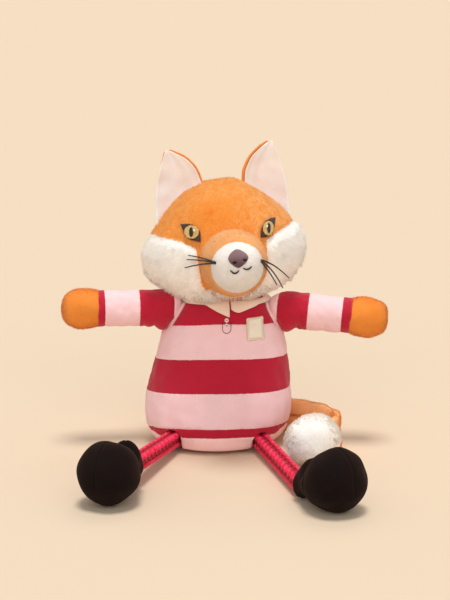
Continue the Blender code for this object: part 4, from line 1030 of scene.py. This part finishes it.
for side, label in ((-1, "left"), (1, "right")):
    finished(pile("cheek_fur_" + label, head_skin, 120000, cream_hair, 71 + side, comb_cheek, 0.0066, 0.00056, 0.74,
                  bend=0.4, rough=0.18, keep=cheek_part(side), size=cheek_size, clump=(0.0040, 0.6, 55)),
             "head")


def chin_part(roots):
    across, back, up = in_head(roots)
    return (up < -0.034) & (back < 0.012) & (np.abs(across) < 0.040)


def chin_size(roots):
    across, back, up = in_head(roots)
    return 0.35 + 0.65 * smooth_step(0.040 - np.abs(across), 0.0, 0.028)


finished(pile("chin_fur", head_skin, 150000, cream_hair, 75, -HEAD_UP - HEAD_BACK * 0.5, 0.0070, 0.00066, 0.66,
              bend=0.3, rough=0.12, keep=chin_part, size=chin_size), "head")


# Muzzle: an orange band and a pale tip on one stuffed form

MUZZLE_RADIUS, MUZZLE_REACH, MUZZLE_DROP = 0.0245, 0.088, 0.014
rings = []
for reach, radius, rise in ((0.40, 1.08, 0.0), (0.54, 1.06, 0.0), (0.66, 1.02, 0.0), (0.76, 0.96, 0.03),
                            (0.85, 0.85, 0.06), (0.93, 0.64, 0.09), (0.98, 0.40, 0.11), (1.0, 0.20, 0.12)):
    rings.append(ring(head_frame @ Vector((0, -MUZZLE_REACH * reach, -MUZZLE_DROP + MUZZLE_RADIUS * rise)),
                      head_turn @ Vector((MUZZLE_RADIUS * radius, 0, 0)),
                      head_turn @ Vector((0, 0, MUZZLE_RADIUS * radius)), 12))
muzzle = stuffed("muzzle_skin", rings, 0.0015)
places, outward = places_of(muzzle.data), normals_of(muzzle.data)


def dome_depth(places):
    """How far ahead of the dome's seam a place is; the seam leans back at the top."""
    across, back, up = in_head(places)
    rise, aside = (up + MUZZLE_DROP) / MUZZLE_RADIUS, across / MUZZLE_RADIUS
    seam = -0.0735 - 0.0065 * np.clip(rise, -1, 1) - 0.003 * np.clip(aside, -1, 1)
    return seam - back


store(muzzle.data, "dome", dome_depth(places))
crease = 0.0010 * np.exp(-(dome_depth(places) / 0.0012) ** 2)
set_places(muzzle.data, places + outward * (0.0004 * ripple(places, 50, 81) - crease)[:, None])
keep_rest(muzzle)


def muzzle_colour(tree):
    step = remap(tree, read_value(tree, "dome"), -0.0003, 0.0003)
    return mix_colour(tree, step, linear((248, 160, 82)), linear((252, 244, 236)))


muzzle.data.materials.append(velour("muzzle_cloth", muzzle_colour, shift=0.08, sheen=0.15))
finished(muzzle, "head", ("muzzle_band", "muzzle_tip"))
muzzle_tree = tree_of(muzzle)
band_hair = hair_material("band_pile", (240, 160, 92), (250, 184, 124), (244, 170, 104), tint=GLOW)
dome_hair = hair_material("dome_pile", (250, 240, 230), (255, 250, 245), (252, 244, 238))


def comb_back(roots, up):
    return HEAD_BACK * 0.5 + up * 0.2


finished(pile("muzzle_band_fur", skin_of(muzzle), 40000, band_hair, 91, comb_back, 0.0020, 0.00042, 0.7,
              keep=lambda roots: dome_depth(roots) < -0.0002), "head")
finished(pile("muzzle_tip_fur", skin_of(muzzle), 60000, dome_hair, 92, comb_back, 0.0014, 0.00036, 0.65,
              keep=lambda roots: dome_depth(roots) > 0.0003), "head")


# Nose, mouth and whiskers

def on_face(tree, across, upward, lift):
    """Place on the face, with a lift, ahead of a point across and up from the head's centre."""
    start = head_frame @ Vector((across, -0.2, upward))
    place, normal, _, _ = tree.ray_cast(start, head_turn @ Vector((0, 1, 0)))
    return place + normal * lift


def pixel_ray(pixel_x, pixel_y):
    """Direction from the camera through a pixel of the 450 by 600 picture."""
    step = camera_data.sensor_width / camera_data.lens / 600
    return camera.rotation_euler.to_matrix() @ Vector(((pixel_x - 225) * step, -(pixel_y - 300) * step, -1.0))


def face_pixels(pixels, tree):
    """Across and up of places seen at pixels of the 450 by 600 picture."""
    out = []
    for pixel_x, pixel_y in pixels:
        place = tree.ray_cast(Vector(camera.location), pixel_ray(pixel_x, pixel_y).normalized())[0]
        local = head_frame.inverted() @ place
        out.append((local.x, local.z))
    return out


NOSE = ((237.6, 249.4), (242.5, 251.6), (247.0, 254.8), (248.2, 258.2), (246.8, 261.4), (243.9, 264.6), (239.3, 268.2),
        (236.4, 267.6), (230.9, 263.6), (228.6, 260.4), (228.6, 257.0), (231.0, 253.6), (234.0, 250.8))
NOSE_LAYERS = ((0.97, -0.0008), (1.00, 0.0006), (0.99, 0.0016), (0.91, 0.0026), (0.74, 0.0032), (0.48, 0.0035),
               (0.2, 0.0036))
nose_points = np.array(face_pixels(NOSE, muzzle_tree))
nose_middle = nose_points.mean(0)
layers = []
for share, lift in NOSE_LAYERS:
    outline = nose_middle + (nose_points - nose_middle) * share
    layers.append([on_face(muzzle_tree, *point, lift) for point in outline])
nose = subdivided(make_object("nose_velour_pad", *loft(layers)), 3)
places = places_of(nose.data)
across, back, up = in_head(places)
hollow = np.zeros(len(places))
for a, b in face_pixels(((234.1, 262.4), (244.3, 259.8)), muzzle_tree):
    hollow += np.exp(-(((across - a) / 0.0019) ** 2 + ((up - b) / 0.0012) ** 2))
# Painted shade: the lower half of the nose is marked here so that it is coloured darker than the top.
store(nose.data, "low", smooth_step(-(up - nose_middle[1]), -0.004, 0.006))
inward = HEAD_BACK[None, :] * (hollow * 0.0016)[:, None]
set_places(nose.data, places + inward)
store(nose.data, "hollow", hollow)
keep_rest(nose)
# Near-black nostril hollows, and painted shade that darkens the lower half of the nose.
nose_cloth = velour("nose_cloth", lambda tree: mix_colour(
    tree, remap(tree, read_value(tree, "hollow"), 0.25, 0.8), mix_colour(
        tree, read_value(tree, "low"), linear((136, 108, 112)), linear((92, 70, 76))), linear((26, 18, 22))),
    shift=0.24, sheen=0.35, tint=(225, 205, 210), grain=2600.0)
nose.data.materials.append(nose_cloth)
finished(nose, "head", ("nose",))

dark_thread = two_tone("dark_thread", (18, 14, 15), (44, 34, 34), 2500.0, 0.55, 0.1)
for label, ends in (("left", ((230.9, 269.6), (234.9, 275.6), (238.9, 269.8))),
                    ("right", ((242.9, 267.9), (247.3, 270.6), (250.6, 266.0)))):
    path = []
    for step in range(13):
        place = quadratic(*np.array(face_pixels(ends, muzzle_tree)), step / 12)
        path.append(on_face(muzzle_tree, *place, 0.0016))
    girths = [0.00040 + 0.00032 * math.sin(math.pi * step / 12) for step in range(13)]
    stitch = keep_rest(make_object("mouth_thread_" + label, *tube(path, girths, 8), dark_thread))
    finished(stitch, "head", ("mouth_stitch_" + label,))


def view_point(pixel_x, pixel_y, back):
    """Place seen at a pixel of the picture, where it crosses a distance back from the head's centre."""
    ray, origin = pixel_ray(pixel_x, pixel_y), Vector(camera.location)
    plane = head_frame @ Vector((0, back, 0))
    normal = head_turn @ Vector((0, 1, 0))
    return origin + ray * ((plane - origin).dot(normal) / ray.dot(normal))


WHISKERS = {("left", "upper"): ((214.8, 262.2), (200, 256.6), (188, 255.4)),
            ("left", "middle"): ((214.8, 262.8), (201, 259.6), (186.5, 259.7)),
            ("left", "lower"): ((214.8, 263.4), (200, 263.6), (184.8, 267.8)),
            ("right", "upper"): ((261.5, 260.0), (275, 263.5), (289, 278.0)),
            ("right", "middle"): ((261.2, 260.8), (273, 268.0), (283, 288.0)),
            ("right", "lower"): ((260.8, 261.5), (269, 270.0), (277, 285.0))}
for (side, level), (root, middle, tip) in WHISKERS.items():
    path, last = [], -0.074
    for step in range(17):
        share = step / 16
        pixel = quadratic(*map(Vector, (root, middle, tip)), share)
        start = Vector(camera.location)
        ray = pixel_ray(*pixel).normalized()
        found, on_head = (tree.ray_cast(start, ray)[0] for tree in (muzzle_tree, head_tree))
        if found is not None:
            place = found - ray * (0.0014 + 0.0030 * min(1.0, share * 3))
            last = (head_frame.inverted() @ place).y
        else:
            last += 0.0006
            place = view_point(*pixel, last)
        if on_head is not None and (on_head - start).length - 0.0075 < (place - start).length:
            place = on_head - ray * 0.0075
        path.append(place)
    for _ in range(4):
        path = [path[0]] + [(a + b * 2 + c) / 4 for a, b, c in zip(path, path[1:], path[2:])] + [path[-1]]
    radii = [0.00068 * (1 - 0.4 * step / 16) for step in range(17)]
    parts = [tube(path, radii, 6)]
    if level == "middle":
        knot = []
        for step in range(9):
            angle = math.tau * step / 8
            place = Vector((0.0006 * math.cos(angle), -0.0004, 0.0009 * math.sin(angle)))
            knot.append(path[0] + head_turn @ place)
        parts.append(tube(knot, 0.0005, 6))
    whisker = keep_rest(make_object("whisker_thread_%s_%s" % (side, level), *gathered(parts), dark_thread))
    finished(whisker, "head", ("whisker_%s_%s" % (side, level),))


# Eyes, satin-stitched on the face: each thread is a raised strip

def stitched(name, polygon, angle, material, lift, spacing, radius, seed):
    """Satin stitches that fill a closed outline on the face, drawn across and up from the head's centre."""
    source = np.random.default_rng(seed)
    direction = np.array((math.cos(angle), math.sin(angle)))
    normal = np.array((-direction[1], direction[0]))
    outline = np.array(polygon)
    along, aside = outline @ direction, outline @ normal
    parts = []
    offset = aside.min() + spacing * 0.5
    while offset < aside.max():
        cuts = []
        for index in range(len(outline)):
            after = (index + 1) % len(outline)
            low, high = aside[index], aside[after]
            if (low - offset) * (high - offset) < 0:
                share = (offset - low) / (high - low)
                cuts.append(along[index] + (along[after] - along[index]) * share)
        cuts.sort()
        for first, second in zip(cuts[::2], cuts[1::2]):
            first -= abs(source.normal()) * 0.00012
            second += abs(source.normal()) * 0.00012
            count = max(3, int((second - first) / 0.0008) + 2)
            path = []
            for step in range(count + 1):
                share = step / count
                point = direction * (first + (second - first) * share) + normal * offset
                bow = math.sin(math.pi * share) ** 0.5
                path.append(on_face(head_tree, point[0], point[1], lift + 0.00035 * bow))
            parts.append(tube(path, radius, 5))
        offset += spacing
    return keep_rest(make_object(name, *gathered(parts), material))


def silk(name, first, second):
    return two_tone(name, first, second, 1300.0, 0.45, 0.15, 0.4, spread=0.15)


brown_thread = silk("brown_thread", (40, 24, 22), (74, 46, 38))
gold_thread = silk("gold_thread", (196, 152, 76), (238, 208, 142))
black_silk = silk("black_silk", (16, 12, 12), (34, 26, 26))
white_silk = silk("white_silk", (238, 224, 190), (252, 244, 222))


EYES = {
    "left": {"outline": (
        (181.9, 224.9), (186.0, 224.9), (189.6, 224.6), (193.2, 225.4), (196.6, 227.2), (198.8, 229.4), (200.6, 232.6),
        (201.2, 237.0), (201.2, 242.3), (196.4, 241.0), (191.7, 240.0), (188.2, 238.2), (185.8, 235.6), (184.6, 231.0)),
        "iris": (192.8, 232.7, 6.9, 6.3), "pupil": (192.9, 232.8, 1.7, 4.6), "glint": (195.9, 231.2), "angle": 0.75},
    "right": {"outline": (
        (273.9, 218.4), (268.6, 219.4), (264.0, 222.2), (261.0, 227.2), (260.0, 232.0), (259.9, 237.7), (265.1, 237.1),
        (268.6, 235.6), (271.2, 233.0), (272.7, 227.6)),
        "iris": (266.5, 229.0, 4.9, 6.6), "pupil": (266.6, 229.0, 1.4, 4.6), "glint": (264.4, 227.4), "angle": -0.75}}


def pixel_oval(centre_x, centre_y, half_x, half_y, count=24):
    turns = [math.tau * step / count for step in range(count)]
    return [(centre_x + half_x * math.cos(turn), centre_y + half_y * math.sin(turn)) for turn in turns]


for label, eye in EYES.items():
    layers = (
        ("eye_stitches_", eye["outline"], eye["angle"] + math.pi / 2, brown_thread, 0.0018, 0.00042, 0.00030,
         "brown_thread", ("eye_outline_" + label,)),
        ("iris_stitches_", pixel_oval(*eye["iris"]), 0.15, gold_thread, 0.0026, 0.00038, 0.00027,
         "gold_thread", ("iris_" + label,)),
        ("pupil_stitches_", pixel_oval(*eye["pupil"]), 0.1, black_silk, 0.0033, 0.00036, 0.00026,
         "black_thread", ("pupil_" + label,)),
        ("eye_glint_", pixel_oval(*eye["glint"], 1.0, 1.2, 12), 0.1, white_silk, 0.0038, 0.00034, 0.00024,
         "cream_velour", ()))
    for seed, (name, pixels, angle, thread, lift, spacing, radius, slot, nodes) in enumerate(layers, 101):
        place = face_pixels(pixels, head_tree)
        finished(stitched(name + label, place, angle, thread, lift, spacing, radius, seed), "head", nodes)


# Ears: a cupped pale lining and an orange back that shows along the inner edge

def lining_colour(tree):
    """Off-white, with painted whitening low down that offsets the orange light the head casts there."""
    where = rest_place(tree)
    share = remap(tree, noise_value(tree, where, 45.0, 2.0), 0.35, 0.65)
    colour = mix_colour(tree, share, linear((244, 232, 222)), linear((236, 222, 214)))
    # Painted light: the lower lining turns bluish white to cancel the orange light bounced from the head.
    low = remap(tree, add_node(tree, "SeparateXYZ", {0: where}).outputs[2], 0.190, 0.222, 1.0, 0.0)
    return mix_colour(tree, low, colour, linear((236, 246, 250)))


lining_cloth = velour("lining_cloth", lining_colour,
    shift=0.06, sheen=0.3, grain=1700.0)
ear_hair = hair_material("ear_pile", (226, 130, 50), (240, 148, 68), (234, 138, 56), tint=GLOW)
EAR_POINTS = ((0.053, 0.0028, 0.006), (0.057, 0.0028, 0.044), (0.017, 0.0052, 0.038), (0.014, 0.0052, 0.066))
ear_skin = velour("ear_back_cloth", (246, 154, 70), shift=0.1, sheen=0.15)
for side, label in ((-1, "left"), (1, "right")):
    foot_outer, bulge_outer, foot_inner, bulge_inner = (
        Vector((side * across + shift, 0.002, up)) for across, shift, up in EAR_POINTS)
    tip = Vector((side * 0.041 + (0.0036 if side < 0 else 0.0075), 0.008, 0.076))
    columns, levels = 26, 30
    for kind in ("lining", "back"):
        vertices = []
        for level in range(levels + 1):
            share = (0.985 if kind == "lining" else 0.950) * level / levels
            outer = quadratic(foot_outer, bulge_outer, tip, share)
            inner = quadratic(foot_inner, bulge_inner, tip, share)
            for column in range(columns + 1):
                across = column / columns
                cup = 0.010 * 4 * across * (1 - across) * (1 - share)
                flare = 0.0016 * (1 - share) * math.exp(-((across - 0.5) / 0.12) ** 2)
                point = outer.lerp(inner, across) + Vector((0, cup - flare, 0))
                inward = (inner - outer).normalized()
                if kind == "lining":
                    point -= inward * (0.0009 if across > 0.5 else 0.0004) * (2 * abs(across - 0.5)) ** 4
                    point.y += -0.0006 - 0.0022 * math.exp(-((across - 0.80) / 0.10) ** 2) * (1 - share)
                else:
                    point += inward * (0.0006 if across > 0.5 else 0.0022) * (2 * abs(across - 0.5)) ** 4
                    point.y += 0.0012
                vertices.append(head_frame @ point)
        leaf = make_object("ear_%s_leaf_%s" % (kind, label), vertices, grid_faces(levels, columns))
        if (normals_of(leaf.data) @ HEAD_BACK).mean() > 0:
            leaf.data.flip_normals()
        thickened(leaf, *((0.0012, 0.0) if kind == "lining" else (0.0018, -1.0)))
        keep_rest(roughened(subdivided(leaf, 1), 0.0003, 60, 111 + side))
        leaf.data.materials.append(lining_cloth if kind == "lining" else ear_skin)
        slot = "pale_lining" if kind == "lining" else "orange_plush"
        finished(leaf, "ear_" + label, ("ear_%s_%s" % (kind, label),))
        if kind == "back":
            fuzz = pile("ear_fur_" + label, skin_of(leaf), 26000, ear_hair, 121 + side, HEAD_UP, 0.0010, 0.00036, 0.85,
                        rough=0.10)
            finished(fuzz, "ear_" + label)


# Rope legs: a crimson braid of thick strands

ROPE_RADIUS = 0.0070
rope_material, rope_tree, rope_shader = new_material("rope_silk", 0.42, 0.1, (255, 120, 150), 0.35)
where = rest_place(rope_tree)
fibre = noise_value(rope_tree, where, 1800.0, 3.0, 0.7)
rope_shade = remap(rope_tree, noise_value(rope_tree, where, 260.0, 2.0), 0.35, 0.65)
rope_colour = mix_colour(rope_tree, rope_shade, linear((236, 18, 66)), linear((255, 52, 104)))
# Painted shade: strands turn deep red where they dip under others, and the core is deep red, as shade between the
# strands.
connect(rope_tree, rope_shader.inputs["Base Color"], mix_colour(
    rope_tree, remap(rope_tree, read_value(rope_tree, "height"), 0.55, 0.98), linear((158, 0, 32)), rope_colour))
set_bump(rope_tree, rope_shader, fibre, 0.5, 0.00025)
for side, label in ((-1, "left"), (1, "right")):
    start, direction = hip_place(side), rope_direction(side)
    level = Vector((-direction.y, direction.x, 0)).normalized()
    upright = level.cross(direction)
    parts, heights = [], []
    strands, pitch, steps = 8, 0.034, 200
    for strand in range(strands):
        way = 1 if strand % 2 else -1
        path, tall, girths = [], [], []
        for step in range(steps + 1):
            reach = -0.004 + (ROPE_LENGTH + 0.006) * step / steps
            angle = way * math.tau * reach / pitch + math.tau * strand / strands
            weave = math.cos((math.tau * reach / pitch) * strands / 2 + (0 if way > 0 else math.pi))
            radius = ROPE_RADIUS * (0.71 + 0.13 * weave)
            path.append(start + direction * reach + (level * math.cos(angle) + upright * math.sin(angle)) * radius)
            tall.append(0.5 + 0.5 * weave)
            girths.append(0.00150 + 0.00025 * weave)
        vertices, faces = tube(path, girths, 10)
        parts.append((vertices, faces))
        # Each point's lift in the weave, kept for the painted shade between the strands.
        heights.extend([share for share in tall for _ in range(10)] + [0.0, 0.0])
    core_path = [start + direction * (ROPE_LENGTH * step / 6) for step in range(7)]
    vertices, faces = tube(core_path, 0.0046, 10)
    parts.append((vertices, faces))
    heights.extend([0.0] * len(vertices))
    leg = make_object("rope_braid_" + label, *gathered(parts), rope_material)
    store(leg.data, "height", np.array(heights))
    keep_rest(leg)
    finished(leg, "leg_" + label, ("rope_leg_" + label,))


# Boots: black velour, with a soft shaft that puffs up behind the crease over the ball

BOOT_LENGTH, BOOT_RADIUS = 0.066, 0.0248
BOOT_REACHES = (0.055, 0.030, 0.017, 0.055, 0.15, 0.24, 0.33, 0.43, 0.61, 0.80, 0.92, 0.97)
BOOT_WIDTHS = (0.30, 0.34, 0.41, 0.46, 0.50, 0.59, 0.74, 0.86, 1.00, 0.89, 0.56, 0.26)
BOOT_TALLS = (0.30, 0.34, 0.45, 0.53, 0.62, 0.63, 0.70, 0.86, 1.03, 0.94, 0.58, 0.28)
BOOT_MIDDLES = (0.0, 0.0, 0.0, 0.0, 0.03, 0.20, 0.50, 0.80, 1.0, 1.0, 0.97, 0.95)
BOOT_RISES = (0.0, 0.0, 0.10, 0.26, 0.90, 0.70, 0.30, 0.08, 0.0, 0.0, 0.0, 0.0)
boot_cloth = velour("boot_velour", (16, 7, 6), shift=0.35, sheen=0.08, tint=(160, 104, 90), grain=1300.0,
                    depth=0.0003)
for side, label, bearing in ((-1, "left", 23.9), (1, "right", 34.0)):
    ankle = hip_place(side) + rope_direction(side) * ROPE_LENGTH
    angle = math.radians(bearing)
    direction = Vector((side * math.sin(angle), -math.cos(angle), 0))
    level, up = Vector((-direction.y, direction.x, 0)), Vector((0, 0, 1))
    rings = []
    for reach, width, tall, middle, rise in zip(BOOT_REACHES, BOOT_WIDTHS, BOOT_TALLS, BOOT_MIDDLES, BOOT_RISES):
        lift = up * ((BOOT_RADIUS - 0.0005 - ankle.z) * middle + 0.0092 * rise)
        centre = ankle + direction * BOOT_LENGTH * reach + lift
        rings.append(ring(centre, level * BOOT_RADIUS * width, up * BOOT_RADIUS * tall, 12))
    boot = stuffed("boot_velour_" + label, rings, 0.0008)
    places, outward = places_of(boot.data), normals_of(boot.data)
    offset = places - np.array((ankle.x, ankle.y, 0))
    reach = offset @ np.array(direction) / BOOT_LENGTH
    aside = offset @ np.array(level)
    crease = 0.0010 * np.exp(-((reach - 0.35 - 0.05 * np.abs(aside) / 0.02) / 0.026) ** 2)
    seam = 0.0005 * np.exp(-(aside / 0.0009) ** 2) * (outward[:, 2] > -0.2)
    dip = 0.0050 * np.exp(-((reach - 0.29) / 0.055) ** 2) * np.clip(outward[:, 2] * 1.3, 0, 1)
    places = places + outward * (0.0006 * ripple(places, 40, 131 + side) - crease - seam - dip)[:, None]
    places = outside(places, "boot_filling_" + label, 0.0004)
    places[:, 2] = np.maximum(places[:, 2], 0.0002)
    set_places(boot.data, places)
    keep_rest(boot)
    boot.data.materials.append(boot_cloth)
    finished(boot, "foot_" + label, ("boot_" + label,))


# Tail: a limp flat orange band, folded along its length, and a fluffy pale tip

TAIL_PATH = ((0.050, 0.0205), (0.064, 0.013), (0.079, 0.0), (0.0925, -0.018), (0.0955, -0.037), (0.0825, -0.0565))
rings = []
for index, (across, along) in enumerate(TAIL_PATH):
    before, after = TAIL_PATH[max(index - 1, 0)], TAIL_PATH[min(index + 1, len(TAIL_PATH) - 1)]
    forward = Vector((after[0] - before[0], after[1] - before[1], 0)).normalized()
    aside = forward.cross(Vector((0, 0, 1)))
    rings.append(ring(Vector((across, along, 0.0155)), aside * 0.00375, Vector((0, 0, 0.0155)), 12, 3.0))
tail = subdivided(make_object("tail_band_cloth", *loft(rings)), 4)
places, outward = places_of(tail.data), normals_of(tail.data)
fold_at = 0.0175 + 0.003 * ripple(places, 12, 141)
fold = np.exp(-((places[:, 2] - fold_at) / 0.0018) ** 2) * smooth_step(-np.abs(outward[:, 2]), -0.6, -0.2)
places = places + outward * (0.0008 * ripple(places, 35, 142) - 0.0026 * fold)[:, None]
places[:, 2] = np.maximum(places[:, 2], 0.0003)
set_places(tail.data, places)
# The fold is stored for the painted shade in its crease.
store(tail.data, "fold", fold)
keep_rest(tail)
# Painted shade: the band turns a deeper orange along its fold.
tail.data.materials.append(velour("tail_cloth", lambda tree: mix_colour(
    tree, remap(tree, read_value(tree, "fold"), 0.3, 1.0), linear((254, 190, 126)), linear((222, 126, 64))),
    shift=0.12, sheen=0.2, tint=GLOW))
finished(tail, "tail", ("tail_band",))
band_fuzz = hair_material("tail_band_pile", (238, 158, 96), (254, 198, 138), (250, 180, 114), sheen=0.2, tint=GLOW)
fuzz = pile("tail_band_fur", skin_of(tail), 26000, band_fuzz, 143, (0.3, -0.6, -0.2), 0.0018, 0.0004, 0.7)
finished(fuzz, "tail")

tip_centre = Vector((0.0720, -0.0680, 0.0205))
tip_along = (Vector((tip_centre.x, tip_centre.y, 0)) - Vector((*TAIL_PATH[-1], 0))).normalized()
tip_aside = tip_along.cross(Vector((0, 0, 1)))
rings = []
for reach, share in zip((-0.50, -0.42, -0.20, 0.06, 0.30, 0.44, 0.49), (0.30, 0.66, 0.96, 1.0, 0.84, 0.52, 0.22)):
    rings.append(ring(tip_centre + tip_along * 0.044 * reach, tip_aside * 0.0195 * share,
                      Vector((0, 0, 0.0195 * share)), 12))
tail_tip = roughened(stuffed("tail_tip_form", rings, 0.0004, before=3, after=0), 0.0008, 45, 151)
places = places_of(tail_tip.data)
places[:, 2] = np.maximum(places[:, 2], 0.0004)
set_places(tail_tip.data, places)
keep_rest(tail_tip)
tail_tip.data.materials.append(velour("tail_tip_cloth", (254, 244, 232), shift=0.06))
finished(tail_tip, "tail", ("tail_tip",))
fluff_hair = hair_material("tail_pile", (252, 242, 230), (255, 251, 245), (253, 245, 235))
combed = np.array(tip_along) * 0.9 + np.array((0, 0, -0.2))
fluff = pile("tail_tip_fur", skin_of(tail_tip), 60000, fluff_hair, 152, combed, 0.0034, 0.00056, 0.66, rough=0.20,
             clump=(0.003, 0.5, 35), keep=lambda roots: roots[:, 2] > 0.002)
places = places_of(fluff.data)
places[:, 2] = np.maximum(places[:, 2], 0.0002)
set_places(fluff.data, places)
finished(fluff, "tail")


# CAD nodes that stay: the fillings, the neck's plug and the squeaker

stuffing = velour("stuffing_fibre", (244, 242, 238), object_place, 0.08, 0.2, grain=500.0, depth=0.0004)
shell = two_tone("squeaker_plastic", (232, 232, 228), (246, 246, 242), 300.0, 0.35, specular=0.5,
                 place=object_place, detail=3.0, bump=(0.15, 0.0002))
for name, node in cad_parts.items():
    if "filling" in name or name in ("neck_plug", "squeaker"):
        node.data.materials.clear()
        node.data.materials.append(shell if name == "squeaker" else stuffing)
